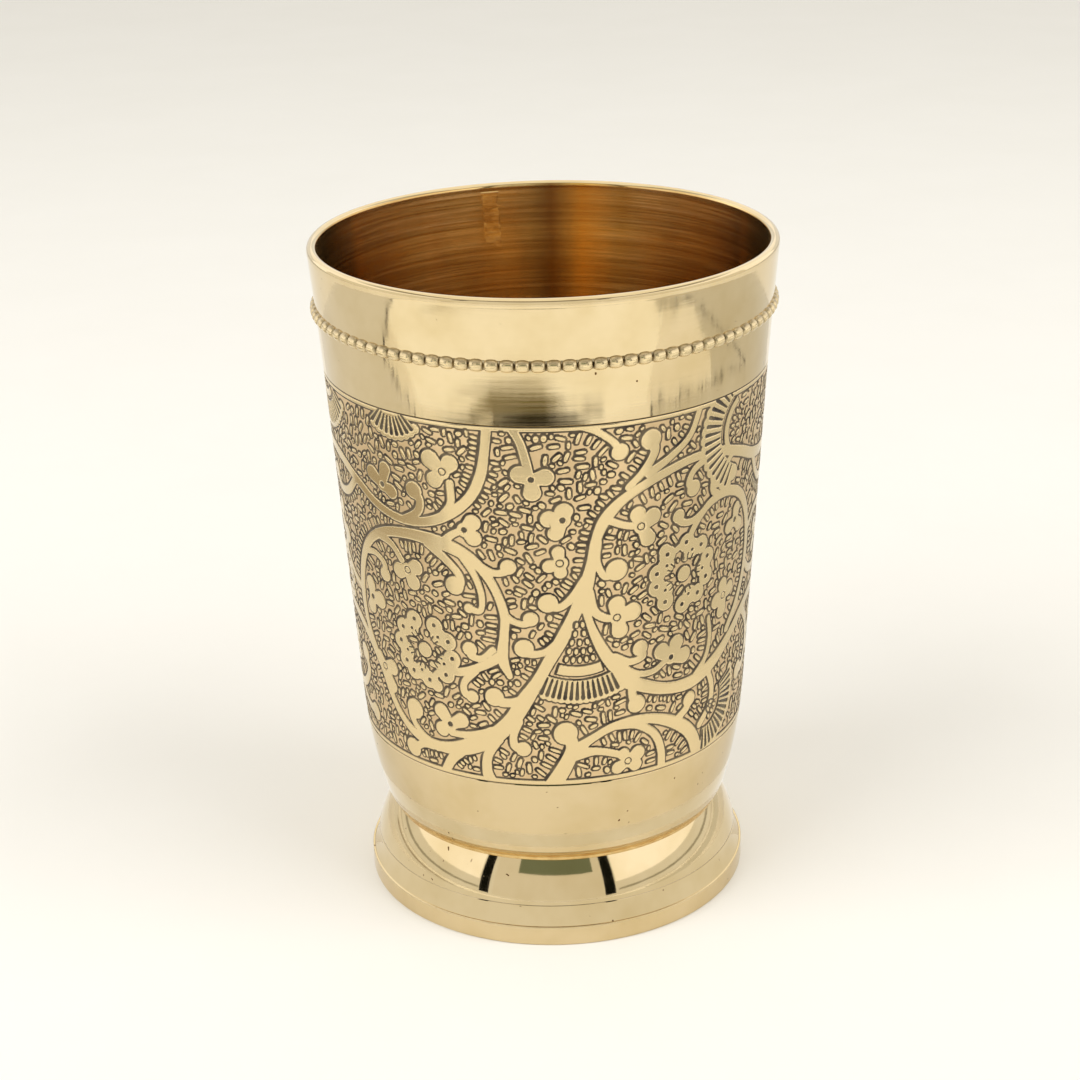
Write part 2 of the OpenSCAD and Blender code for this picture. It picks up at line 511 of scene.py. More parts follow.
def new_object(name: str, points: np.ndarray, faces: Optional[list[np.ndarray]] = None,
               values: Optional[dict[str, np.ndarray]] = None) -> Object:
    """Make an object with its own mesh and link it to the scene.

    Args:
        name: the object's name.
        points: vertex positions, one row each.
        faces: arrays of vertex numbers, one row a face, each array with its own face size.
        values: per-vertex numbers or vectors, stored as attributes by name.

    Returns:
        The new object, at the origin.
    """
    mesh = bpy.data.meshes.new(name)
    mesh.vertices.add(len(points))
    mesh.vertices.foreach_set("co", np.asarray(points, np.float32).ravel())
    if faces:
        corners = np.concatenate([part.ravel() for part in faces])
        sizes = np.concatenate([np.full(len(part), part.shape[1]) for part in faces])
        mesh.loops.add(len(corners))
        mesh.loops.foreach_set("vertex_index", corners.astype(np.int32))
        mesh.polygons.add(len(sizes))
        mesh.polygons.foreach_set("loop_start", (np.cumsum(sizes) - sizes).astype(np.int32))
    for label, numbers in (values or {}).items():
        kind, field_name = ("FLOAT_VECTOR", "vector") if numbers.ndim > 1 else ("FLOAT", "value")
        layer = mesh.attributes.new(label, kind, "POINT")
        layer.data.foreach_set(field_name, np.asarray(numbers, np.float32).ravel())
    mesh.update(calc_edges=True)
    made = bpy.data.objects.new(name, mesh)
    bpy.context.scene.collection.objects.link(made)
    return made


def quads(rows: int, columns: int) -> np.ndarray:
    """Faces of a grid whose vertices run row by row, turning upwards from left to right."""
    first = (np.arange(rows - 1)[:, None] * columns + np.arange(columns - 1)).ravel()
    return np.stack([first, first + 1, first + columns + 1, first + columns], axis=1)


def grow(seed: Object, tree: NodeTree,
         values: dict[str, object], crease: float = 35.0) -> Object:
    """Run a geometry tree on an object and keep the result as its plain mesh.

    Args:
        seed: the object that the tree starts from.
        tree: the geometry tree.
        values: the tree's named inputs.
        crease: faces that meet at more than this many degrees keep a sharp edge.

    Returns:
        The same object, with the grown mesh and no modifier.
    """
    modifier = seed.modifiers.new(tree.name, "NODES")
    modifier.node_group = tree
    sockets = {item.name: item.identifier for item in tree.interface.items_tree
               if item.in_out == "INPUT"}
    for label, value in values.items():
        modifier[sockets[label]] = value
    graph = bpy.context.evaluated_depsgraph_get()
    grown = bpy.data.meshes.new_from_object(seed.evaluated_get(graph),
                                            preserve_all_data_layers=True, depsgraph=graph)
    seed.modifiers.remove(modifier)
    bare = seed.data
    seed.data = grown
    bpy.data.meshes.remove(bare)
    grown.name = seed.name
    grown.shade_smooth()
    grown.set_sharp_from_angle(angle=math.radians(crease))
    return seed


class Tree(Wiring):
    """A geometry tree under construction, with named inputs and one geometry output."""

    def __init__(self, name: str, inputs: dict[str, str]) -> None:
        """Start a tree.

        Args:
            name: the tree's name.
            inputs: socket names with their kinds, such as Float, Int, Object or Material.
        """
        self.tree = bpy.data.node_groups.new(name, "GeometryNodeTree")
        sockets = self.tree.interface
        sockets.new_socket("Geometry", in_out="INPUT", socket_type="NodeSocketGeometry")
        for label, kind in inputs.items():
            sockets.new_socket(label, in_out="INPUT", socket_type="NodeSocket" + kind)
        sockets.new_socket("Geometry", in_out="OUTPUT", socket_type="NodeSocketGeometry")
        self.entry = self.tree.nodes.new("NodeGroupInput").outputs

    def around(self, radius: NodeSocket, turn: NodeSocket, height: NodeSocket) -> NodeSocket:
        """Find a place by its radius, its turn from the front and its height.

        Args:
            radius: distance from the axis.
            turn: direction in radians, 0 at the front.
            height: height above the base.

        Returns:
            The place as a vector.
        """
        back = self.math("MULTIPLY", self.math("COSINE", turn), -1.0)
        links = {0: self.math("MULTIPLY", radius, self.math("SINE", turn)),
                 1: self.math("MULTIPLY", radius, back), 2: height}
        return self.node("ShaderNodeCombineXYZ", links=links).outputs["Vector"]

    def named(self, label: str, kind: str = "FLOAT") -> NodeSocket:
        """Read a named attribute."""
        return self.node("GeometryNodeInputNamedAttribute", {"data_type": kind, "Name": label}).outputs[0]

    def finish(self, geometry: NodeSocket, *dressed: tuple) -> NodeTree:
        """End the tree with real geometry and its materials.

        Args:
            geometry: the geometry so far.
            dressed: material sockets, each with the selection that it covers, or None for all.

        Returns:
            The finished tree.
        """
        last = self.node("GeometryNodeRealizeInstances", links={"Geometry": geometry})
        for material, where in dressed:
            links = {"Geometry": last.outputs["Geometry"], "Material": material}
            if where is not None:
                links["Selection"] = where
            last = self.node("GeometryNodeSetMaterial", links=links)
        self.node("NodeGroupOutput", links={"Geometry": last.outputs["Geometry"]})
        return self.tree


def lathe_tree() -> NodeTree:
    """Tree that turns an outline of points round the axis into a closed skin.

    The outline's points lie in the XZ plane, X being the radius, and run upwards along the
    outside. Where their "inside" attribute is above a half, the second material is used.

    Returns:
        The geometry tree.
    """
    made = bpy.data.node_groups.get("lathe")
    if made:
        return made
    tree = Tree("lathe", {"Segments": "Int", "Outside": "Material", "Inside": "Material"})
    outline = tree.entry["Geometry"]
    count = tree.node("GeometryNodeAttributeDomainSize", links={"Geometry": outline}).outputs["Point Count"]
    columns = tree.math("ADD", tree.entry["Segments"], 1.0)
    sheet = tree.node("GeometryNodeMeshGrid", links={"Vertices X": columns, "Vertices Y": count})
    index = tree.node("GeometryNodeInputIndex").outputs["Index"]
    row = tree.math("MODULO", index, count)
    column = tree.math("FLOOR", tree.math("DIVIDE", index, count))
    turn = tree.math("MULTIPLY", tree.math("DIVIDE", column, tree.entry["Segments"]), math.tau)
    place = tree.node("GeometryNodeInputPosition").outputs["Position"]
    point = tree.node("GeometryNodeSampleIndex", {"data_type": "FLOAT_VECTOR"},
                      {"Geometry": outline, "Value": place, "Index": row}).outputs["Value"]
    parts = tree.node("ShaderNodeSeparateXYZ", links={0: point}).outputs
    target = tree.around(parts["X"], turn, parts["Z"])
    skin = tree.node("GeometryNodeSetPosition",
                     links={"Geometry": sheet.outputs["Mesh"], "Position": target}).outputs["Geometry"]
    for label in ("inside", "residue"):
        value = tree.node("GeometryNodeSampleIndex", {"data_type": "FLOAT"},
                          {"Geometry": outline, "Value": tree.named(label), "Index": row}).outputs["Value"]
        skin = tree.node("GeometryNodeStoreNamedAttribute", {"data_type": "FLOAT", "Name": label},
                         {"Geometry": skin, "Value": value}).outputs["Geometry"]
    closed = tree.node("GeometryNodeMergeByDistance", {"Distance": 1e-6}, {"Geometry": skin})
    inner = tree.math("GREATER_THAN", tree.named("inside"), 0.5)
    return tree.finish(closed.outputs["Geometry"], (tree.entry["Outside"], None),
                       (tree.entry["Inside"], inner))


@dataclass
class Outline:
    """Points of a turned shape in millimetres, walked upwards along the outside."""

    points: list[tuple[float, float]] = field(default_factory=list)
    inside: list[float] = field(default_factory=list)
    residue: list[float] = field(default_factory=list)

    def add(self, points: list[tuple[float, float]], inside: float = 0.0, residue: float = 0.0) -> "Outline":
        """Add points that share one surface.

        Args:
            points: radius and height of each point.
            inside: 1 if they get the inside finish.
            residue: how much residue lies on them.

        Returns:
            The outline itself.
        """
        self.points += points
        self.inside += [inside] * len(points)
        self.residue += [residue] * len(points)
        return self

    def turn(self, name: str, outside: Finish, inside: Finish, segments: int = 320) -> Object:
        """Turn the outline into a piece, closing it from its last point to its first.

        Args:
            name: the piece's name.
            outside: finish of the surfaces that face out.
            inside: finish of the points marked as inside.
            segments: faces round the axis.

        Returns:
            The turned piece.
        """
        closed = self.points + self.points[:1]
        places = np.array([(r * MM, 0.0, z * MM) for r, z in closed])
        seed = new_object(name, places, values={"inside": np.array(self.inside + self.inside[:1]),
                                                "residue": np.array(self.residue + self.residue[:1])})
        return grow(seed, lathe_tree(), {"Segments": segments, "Outside": outside.material(),
                                         "Inside": inside.material()})


def between(low: float, high: float, step: float) -> list[float]:
    """Numbers from low to high, both included, in near-equal steps."""
    count = max(1, round(abs(high - low) / step))
    return [low + (high - low) * i / count for i in range(count + 1)]


def arc(centre_r: float, centre_z: float, radius: float, start: float, end: float,
        count: int = 12) -> list[tuple[float, float]]:
    """Points of an arc in the radius and height plane, by angles in degrees."""
    angles = [math.radians(start + (end - start) * i / count) for i in range(count + 1)]
    return [(centre_r + radius * math.cos(a), centre_z + radius * math.sin(a)) for a in angles]


# ---- the engraving's design


class Eye(Enum):
    """What marks the middle of a flower."""

    RING = "ring"
    PIT = "pit"


@dataclass(frozen=True)
class Vine:
    """A scrolling stem: (along, up, width) points in millimetres, with a round knob at its tip."""

    path: tuple[tuple[float, float, float], ...]
    knob: float = 0.0


@dataclass(frozen=True)
class Flower:
    """A small flower whose petals are (direction, reach, radius)."""

    x: float
    z: float
    petals: tuple[tuple[float, float, float], ...]
    eye: Eye = Eye.RING


@dataclass(frozen=True)
class Rosette:
    """A large flower of three-lobed petals, given by their directions."""

    x: float
    z: float
    lobes: tuple[float, ...]
    size: float = 1.0


@dataclass(frozen=True)
class Fan:
    """A half-open fan: a skirt cut by slots, with a crescent or rows of dashes inside it."""

    x: float
    z: float
    aim: float
    spread: float
    skirt: tuple[float, float]
    slots: int
    crescent: Optional[tuple[float, float]] = None
    rows: tuple[float, ...] = ()


VINES = (
    # trunk through the middle
    Vine(((-15, 42.6, 3), (-11.5, 44.8, 3.2), (-8.2, 48.2, 3), (-5.6, 52.4, 3), (-3, 56.6, 2.2),
          (-0.6, 61, 2.2), (1.6, 65, 2.4), (4, 70, 2.2), (6, 75, 2.6), (7.2, 80, 1.9), (8, 84.5, 1.8),
          (9.8, 88.6, 2.2), (13.5, 92.2, 1.8), (20, 95.2, 1.6), (27, 96.8, 1.5), (34, 96.2, 1.7),
          (41, 94, 1.9), (47, 91.6, 2), (54, 90.6, 2), (62.5, 92.5, 2))),
    Vine(((0.8, 64.3, 1.6), (-1.5, 62.6, 1.3), (-4, 62.2, 1.5), (-5.3, 63.3, 2.2)), 1.75),
    Vine(((-4.2, 54.6, 2), (-6.6, 52.5, 1.6), (-9.6, 51.8, 1.8), (-11.4, 52.8, 2.2)), 1.8),
    Vine(((-7, 48, 1.8), (-8, 45, 1.4), (-7.8, 42.8, 1.6), (-6.2, 42.2, 2)), 1.45),
    Vine(((6, 77, 1.6), (3.6, 73.4, 1.5), (1.2, 71.6, 1.4), (-0.7, 72.5, 2.2)), 1.75),
    Vine(((8.2, 84, 1.6), (8.2, 80.2, 1.2), (9.6, 77.2, 1.3), (11.8, 78.1, 2.4)), 2),
    Vine(((6.4, 74, 2.4), (7.6, 70.5, 1.6), (9.6, 68.8, 1.4), (11.5, 68.5, 1.2))),
    # right leg
    Vine(((5.8, 73, 1.8), (6.6, 69, 1.3), (8, 65, 1.7), (10, 61, 2.2), (12.4, 57.6, 2.4),
          (14.8, 54.6, 2.6))),
    Vine(((14.6, 55, 2.4), (18, 53.2, 2.4), (23, 51.5, 2.2), (29, 51, 2.6), (35, 52.8, 2.8),
          (41, 56.2, 2.4), (47, 59.8, 2.2), (54, 61.5, 2.2), (62.5, 60, 2))),
    Vine(((15.2, 54.6, 1.8), (15.3, 52, 1.6), (16.2, 49.9, 2.2)), 1.75),
    Vine(((11.6, 60.4, 1.6), (14.6, 59, 1.3), (17.2, 59.6, 1.4), (16.7, 61.4, 1.8)), 1.5),
    Vine(((12.6, 58.6, 1.4), (16, 56.3, 1.1), (19.4, 55.9, 1.1), (22.2, 57.3, 1.2))),
    Vine(((30, 52, 1.4), (33, 55, 1.2), (33.9, 59, 1.1), (33.2, 63, 0.9))),
    # low right
    Vine(((-0.5, 34.6, 3.2), (1.6, 38, 3), (3.2, 41.5, 2.6), (3.2, 43.6, 2.4), (2.1, 45.5, 2.6)), 2.25),
    Vine(((3.6, 41.6, 2.6), (7.2, 44, 1.6), (11.5, 46, 1.6), (16.5, 46.5, 1.7), (21.5, 45.4, 2),
          (26.5, 42.8, 2.5), (30, 39.4, 2.7), (32.2, 34.6, 3))),
    Vine(((3.4, 40.8, 2.6), (8, 41.2, 1.5), (12.5, 39.9, 1.3), (15.5, 38.4, 1.2))),
    Vine(((12, 45.8, 1), (16.5, 45.3, 1.4), (20.3, 42.6, 1.5), (22, 38.8, 1.6), (22.4, 34.6, 1.8))),
    Vine(((25.5, 44, 1.6), (28, 45.6, 1.8), (28.8, 47.4, 2)), 1.55),
    Vine(((33.6, 52.4, 1.2), (35.6, 48, 1.4), (35.2, 44, 1.5), (32.4, 40.8, 1.6))),
    Vine(((-12, 44.4, 4), (-18, 41.2, 3.2), (-24, 40, 2.2), (-30, 40.8, 1.9), (-34, 43.3, 1.6),
          (-37, 47.2, 1.6), (-39.5, 52, 1.6), (-43.5, 56.5, 1.8), (-48, 59.5, 2), (-55, 61, 2),
          (-62.5, 60, 2))),
    # low left
    Vine(((-11.6, 43.4, 2), (-13.4, 40.2, 1.8), (-13.8, 37, 2), (-13.2, 34.4, 2.6))),
    Vine(((-13, 44.6, 2.6), (-17, 43.9, 1.5), (-21, 43.6, 1.2))),
    Vine(((-21, 40.2, 1.2), (-26.6, 40.6, 1.2), (-30, 42.8, 1.3), (-31, 45, 1.7), (-30, 46.4, 2.4)), 2.05),
    Vine(((-18.5, 41, 2.6), (-21.4, 38, 2), (-23.4, 34.8, 1.8))),
    Vine(((-24.5, 39.4, 1.2), (-28.4, 39.2, 1.3), (-31.6, 37.6, 2)), 1.9),
    Vine(((-8.2, 57.4, 1), (-9.4, 61, 2), (-8.9, 66, 1.6), (-8.7, 70, 1.6), (-10.2, 75, 1.5),
          (-13, 79.4, 1.9), (-17, 82, 2.4), (-22, 83.2, 2.5), (-28, 83.2, 2), (-34, 81.8, 1.8),
          (-39, 78.6, 1.7), (-42.5, 73.5, 1.7), (-44.4, 67, 1.7), (-44, 60.5, 1.6), (-41.2, 55, 1.5))),
    # middle left
    Vine(((-9.8, 61.4, 2), (-13.5, 59, 1.6), (-18.5, 57, 1.6), (-24.4, 57.4, 0.9))),
    Vine(((-21.5, 57, 1.6), (-23.9, 55, 1.2), (-23.6, 53, 1.8)), 1.2),
    Vine(((-15, 57.9, 1.6), (-17.4, 55, 1.3), (-17.4, 52.8, 1.4), (-15.9, 52.3, 1.6)), 1.2),
    Vine(((-23, 82.4, 1.8), (-19.4, 79.8, 1.5), (-17, 77.2, 1.4), (-16.8, 75.4, 1.6),
          (-18, 74.8, 2.2)), 1.75),
    Vine(((-16.4, 81.4, 1.4), (-14, 77.6, 1.2), (-12.8, 73.6, 1.1), (-13.2, 70.4, 1),
          (-15.4, 70.6, 1.4)), 0.9),
    Vine(((-13.4, 79.8, 1.4), (-10.4, 78.3, 1.2), (-8.4, 78.6, 1.4), (-7.6, 79.6, 1.8)), 1.4),
    Vine(((-8.6, 69.8, 1.4), (-6.8, 68.6, 1.1), (-5, 68.3, 1.3), (-3.9, 69.3, 1.8)), 1.35),
    Vine(((-11.2, 62.6, 1.2), (-13.4, 60.6, 1.2), (-15.4, 60.8, 1.4), (-15.8, 62.2, 1.8)), 1.4),
    Vine(((-36, 81, 1.6), (-32, 80, 1.3), (-29.6, 77.4, 1.2))),
    Vine(((-41, 76, 1.2), (-37.4, 76.6, 1.1), (-34.8, 75.2, 1.2), (-34.8, 73, 1.8)), 1.4),
    Vine(((-10.2, 107, 1.6), (-10.8, 102, 1.5), (-11.8, 97, 1.8), (-14, 92.6, 1.8), (-18, 89, 1.9),
          (-23, 86.6, 1.7), (-29, 85.9, 1.6), (-35, 87.2, 1.7), (-41, 90, 1.8), (-48, 92.6, 1.9),
          (-55, 93.4, 1.9), (-62.5, 92.5, 2))),
    Vine(((-19.4, 88.3, 1.5), (-17.6, 91, 1.4), (-17.5, 95, 1.4))),
    Vine(((-28, 86.2, 1), (-24.8, 88, 1.5), (-23.9, 90.4, 1.6), (-25.1, 92.3, 2.2)), 1.65),
    # upper left
    Vine(((-19.6, 83.2, 1.6), (-18, 84.8, 1.3), (-16, 86, 1.2))),
    Vine(((-6.4, 107, 1.4), (-4.8, 104, 1.3), (-3.9, 100.6, 1.4), (-3.4, 98, 1.4))),
    Vine(((13.8, 94, 1.2), (16.6, 96.6, 1.5), (18.6, 100, 1.6), (17.9, 102.4, 2.2)), 1.85),
    Vine(((17.6, 96, 1.6), (22, 98.4, 1.3), (26, 101.6, 1.2), (28.2, 107, 1.2))),
    Vine(((4, 107, 1), (8, 105.4, 1.1), (11, 103, 1.1), (12.2, 101, 1.6)), 1.5),
    # upper right
    Vine(((26.1, 77.4, 1.2), (26.6, 80.6, 1.3), (28.6, 84, 1.4), (32, 86.8, 1.6), (37, 87.4, 1.8),
          (42, 85.2, 1.8), (45.4, 80.6, 1.8), (46.8, 74.5, 1.8), (46.2, 68, 1.7), (43.6, 62.6, 1.7),
          (40, 58.4, 1.7))),
    Vine(((27, 81.5, 1.2), (24.6, 80, 1.1), (22.8, 79.2, 1.2), (21.4, 80, 1.8)), 1.25),
    Vine(((31.6, 86.6, 1.3), (27.6, 84.5, 1.2), (25, 84.8, 1.3), (24.1, 86.2, 1.8)), 1.25),
    Vine(((34.5, 87.4, 1.3), (32.6, 88.8, 1.3), (32.3, 90.4, 1.5), (33.3, 91, 1.8)), 1.2),
    Vine(((30.5, 96, 1.4), (27.4, 94.6, 1.3), (26.2, 92.4, 1.4), (27.3, 90.9, 2)), 1.5),
    Vine(((38, 94.8, 1.3), (36, 92.6, 1.3), (37, 90.4, 1.8), (38.4, 90.6, 2)), 1.5),
    Vine(((10.4, 88, 1.3), (13.2, 86.7, 1.2), (16, 86, 1.2))),
    Vine(((47, 91.5, 1.4), (50, 87, 1.4), (54, 84.5, 1.5), (58.4, 85.5, 2.2)), 2),
    Vine(((46.6, 76, 1.4), (50.5, 78.8, 1.5), (55, 79, 1.6), (58.2, 76.4, 2.2)), 1.9),
    Vine(((46.4, 70, 1.4), (50, 67, 1.5), (54.5, 66.4, 1.6), (57.6, 69, 2.2)), 1.9),
    # sides and back
    Vine(((-45, 67, 1.4), (-49, 68.8, 1.5), (-52.4, 72.4, 1.6), (-50.8, 75.8, 2.2)), 1.9),
    Vine(((-42, 89.8, 1.4), (-46, 86.4, 1.5), (-50.5, 85.6, 1.6), (-53, 88, 2)), 1.7),
    Vine(((47, 60, 1.8), (51, 56, 1.6), (53, 51, 1.6), (51, 46.5, 1.8), (47.5, 46.4, 2.2)), 1.9),
    Vine(((53, 51.5, 1.6), (57, 47, 1.8), (62.5, 44.5, 2))),
    Vine(((-62.5, 44.5, 2), (-57, 43, 1.8), (-51, 44.4, 1.6), (-47, 48.4, 1.5), (-48, 52, 2.2)), 1.9),
    Vine(((-55, 43.6, 1.8), (-50, 40.4, 1.6), (-45.6, 40, 2.2)), 1.8),
)

FLOWERS = (
    Flower(-21.2, 45.4, ((128, 3.6, 1.55), (28, 3.4, 1.5), (215, 2.9, 1.5)), Eye.PIT),
    Flower(12, 68.5, ((92, 3.2, 1.6), (14, 3.6, 1.75), (282, 3.2, 1.55))),
    Flower(23.7, 57.8, ((142, 3.5, 1.6), (68, 3.4, 1.6), (-8, 3.6, 1.6)), Eye.PIT),
    Flower(-3, 96.7, ((152, 2.7, 1.6), (12, 2.9, 1.55), (272, 3, 1.5)), Eye.PIT),
    Flower(-18.8, 97, ((137, 3.7, 1.7), (50, 2.9, 1.55), (226, 2.9, 1.5))),
    Flower(-32.8, 91.6, ((72, 4, 1.3), (150, 3.6, 1.5), (-20, 2.9, 1.4)), Eye.PIT),
    Flower(-15.3, 86.2, ((46, 2.8, 1.5), (-40, 2.6, 1.5)), Eye.PIT),
    Flower(2.2, 88.8, ((172, 2.9, 1.55), (84, 2.2, 1.6), (243, 3.2, 1.4)), Eye.PIT),
    Flower(16.4, 85.9, ((106, 3.1, 1.5), (36, 3.2, 1.6), (-62, 3.4, 1.45))),
    Flower(-28.3, 75.7, ((196, 2.7, 1.55), (26, 2.8, 1.5), (-62, 3, 1.5))),
    Flower(-40.2, 66.6, ((4, 3.2, 1.7), (96, 3.2, 1.5), (250, 2.8, 1.4)), Eye.PIT),
    Flower(-38.4, 52.6, ((14, 3.2, 1.6), (-62, 4.4, 1.5), (140, 2.8, 1.4))),
    Flower(14.7, 38, ((34, 2.9, 1.5), (-34, 2.4, 1.3), (206, 2.8, 1.3), (122, 2.4, 1.2))),
    Flower(37.8, 66, ((100, 2.8, 1.4), (190, 2.9, 1.5), (262, 3.4, 1.5), (20, 2.8, 1.4))),
    Flower(1.6, 80.4, ((196, 2.4, 1.2), (98, 2.6, 1.1), (-88, 2.2, 1.1))),
    Flower(54, 73, ((0, 3, 1.5), (120, 3, 1.5), (240, 3, 1.5))),
    Flower(-54, 79, ((60, 3, 1.5), (180, 3, 1.5), (300, 3, 1.5)), Eye.PIT),
    Flower(-55, 52, ((60, 3, 1.5), (180, 3, 1.5), (300, 3, 1.5))),
    Flower(56, 55, ((0, 2.9, 1.4), (120, 3, 1.5), (240, 3, 1.5)), Eye.PIT),
    Flower(40.4, 80.5, ((80, 2.6, 1.3), (200, 2.7, 1.3), (320, 2.7, 1.3)), Eye.PIT),
)

ROSETTES = (
    Rosette(25.9, 74.3, (68, -2, -72, -150, 148)),
    Rosette(-25.8, 60, (128, 46, -24, -104, -164)),
    Rosette(-56, 66.8, (90, 18, -54, -126, 162), 0.85),
    Rosette(60, 36.6, (90, 40, 140), 0.8),
)

FANS = (
    Fan(5, 72, -90, 24, (15.6, 20.2), 14, (12.7, 14.5), (4.2, 6, 7.8, 9.6, 11.3)),
    Fan(41.6, 99.4, 172, 74, (7.8, 12.6), 18, (5.6, 6.8), (2.6, 4.2)),
    Fan(33.4, 45, -34, 58, (5.6, 10.8), 15, None, (2.4, 4)),
    Fan(-54, 108.5, -90, 62, (6.8, 11.4), 16, (4.6, 5.8)),
    Fan(-29, 109.5, -90, 46, (3.6, 8), 9),
)


def smooth_path(path: tuple[tuple[float, float, float], ...], step: float = 0.3) -> np.ndarray:
    """Run a smooth curve through the points of a vine.

    Args:
        path: (along, up, width) points.
        step: distance between the curve's points, in millimetres.

    Returns:
        The curve's points, one row each.
    """
    given = np.array(path, float)
    ends = np.vstack([2 * given[0] - given[1], given, 2 * given[-1] - given[-2]])
    curve = []
    for a, b, c, d in zip(ends[:-3], ends[1:-2], ends[2:-1], ends[3:]):
        count = max(2, int(math.hypot(*(c - b)[:2]) / step))
        t = np.linspace(0, 1, count, endpoint=False)[:, None]
        bend = (2 * a - 5 * b + 4 * c - d) * t ** 2 + (3 * b - a - 3 * c + d) * t ** 3
        curve.append(0.5 * (2 * b + (c - a) * t + bend))
    curve.append(given[-1:])
    return np.vstack(curve)


def on_ray(x: float, z: float, degrees: float, reach: float) -> tuple[float, float]:
    """The point at some reach from another, in a direction given in degrees."""
    turn = math.radians(degrees)
    return x + reach * math.cos(turn), z + reach * math.sin(turn)


@dataclass
class Pattern:
    """The engraving as distances on a sheet that is as long as half the way round.

    Three layers hold the signed distance to the nearest motif, to the nearest cut within a
    motif, and to the nearest small mark on the ground, all in millimetres and below zero
    inside the shape.
    """

    low_z: float
    high_z: float
    length: float
    columns: int = 696
    row_step: float = 0.18
    far: float = 9.0
    border_low: float = 0.9
    border_high: float = 0.7
    seed: int = 7
    motif_gap: float = 0.44
    mark_gap: float = 0.28
    bar_pitch: float = 1.02
    bar_r: float = 0.33
    margin_low: float = 1.4
    margin_high: float = 1.3
    scatter: tuple[tuple[float, float, int], ...] = ((1.05, 0.38, 5000), (0.62, 0.48, 4000),
                                                     (0.75, 0.34, 12000), (0.45, 0.3, 16000))

    def __post_init__(self) -> None:
        """Lay out the sheet and draw everything on it."""
        self.rows = round((self.high_z - self.low_z) / self.row_step) + 1
        self.dx = self.length / self.columns
        self.dz = (self.high_z - self.low_z) / (self.rows - 1)
        self.x = (np.arange(self.columns) - self.columns // 2) * self.dx
        self.z = self.low_z + np.arange(self.rows) * self.dz
        self.motif = np.full((self.rows, self.columns), self.far)
        self.cut = self.motif.copy()
        self.mark = self.motif.copy()
        self.marks: list[tuple[float, float, float, float, float]] = []
        self.draw()
        self.fill_ground()

    def stamp(self, layer: np.ndarray, x: float, z: float, reach: float,
              shape: Callable[[np.ndarray, np.ndarray], np.ndarray]) -> None:
        """Merge one shape into a layer.

        Args:
            layer: the layer to change.
            x: where the shape's middle is along the sheet.
            z: how high its middle is.
            reach: half the size of the window that it is drawn in.
            shape: gives the signed distance for offsets from the middle.
        """
        first = math.floor((x - reach - self.x[0]) / self.dx)
        last = math.ceil((x + reach - self.x[0]) / self.dx)
        bottom = max(0, math.floor((z - reach - self.low_z) / self.dz))
        top = min(self.rows - 1, math.ceil((z + reach - self.low_z) / self.dz))
        if top < bottom:
            return
        columns = np.arange(first, last + 1)
        across = (self.x[0] + columns * self.dx - x)[None, :]
        up = (self.z[bottom:top + 1] - z)[:, None]
        window = np.ix_(np.arange(bottom, top + 1), columns % self.columns)
        layer[window] = np.minimum(layer[window], shape(across, up))

    def disc(self, layer: np.ndarray, place: tuple[float, float], radius: float) -> None:
        """Draw a round spot."""
        self.stamp(layer, *place, radius + 1.5, lambda u, v: np.hypot(u, v) - radius)

    def stroke(self, layer: np.ndarray, start: tuple[float, float], end: tuple[float, float],
               start_r: float, end_r: float) -> None:
        """Draw a straight round-ended stroke whose half-width goes from start_r to end_r.

        Args:
            layer: the layer to change.
            start: place of one end.
            end: place of the other end.
            start_r: half-width at the start.
            end_r: half-width at the end.
        """
        half = ((end[0] - start[0]) / 2, (end[1] - start[1]) / 2)
        square = max(4 * (half[0] ** 2 + half[1] ** 2), 1e-9)

        def shape(u: np.ndarray, v: np.ndarray) -> np.ndarray:
            """Distance to the tapered stroke."""
            t = np.clip(((u + half[0]) * half[0] + (v + half[1]) * half[1]) * 2 / square, 0, 1)
            away = np.hypot(u + half[0] - 2 * t * half[0], v + half[1] - 2 * t * half[1])
            return away - (start_r + (end_r - start_r) * t)

        reach = math.sqrt(square) / 2 + max(start_r, end_r) + 1.6
        self.stamp(layer, start[0] + half[0], start[1] + half[1], reach, shape)

    def vine(self, vine: Vine) -> None:
        """Draw a stem and its knob.

        Args:
            vine: the stem.
        """
        curve = smooth_path(vine.path)
        for a, b in zip(curve[:-1], curve[1:]):
            self.stroke(self.motif, tuple(a[:2]), tuple(b[:2]), a[2] / 2, b[2] / 2)
        if vine.knob:
            self.disc(self.motif, tuple(curve[-1][:2]), vine.knob)

    def flower(self, flower: Flower) -> None:
        """Draw a small flower with its petals and its eye.

        Args:
            flower: the flower.
        """
        for turn, reach, radius in flower.petals:
            tip = on_ray(flower.x, flower.z, turn, reach - radius * 0.35)
            self.stroke(self.motif, (flower.x, flower.z), tip, radius * 0.62, radius)
        self.disc(self.motif, (flower.x, flower.z), 1.35)
        if flower.eye is Eye.PIT:
            self.disc(self.cut, (flower.x, flower.z), 0.62)
        else:
            self.stamp(self.cut, flower.x, flower.z, 2.6,
                       lambda u, v: np.abs(np.hypot(u, v) - 0.67) - 0.17)

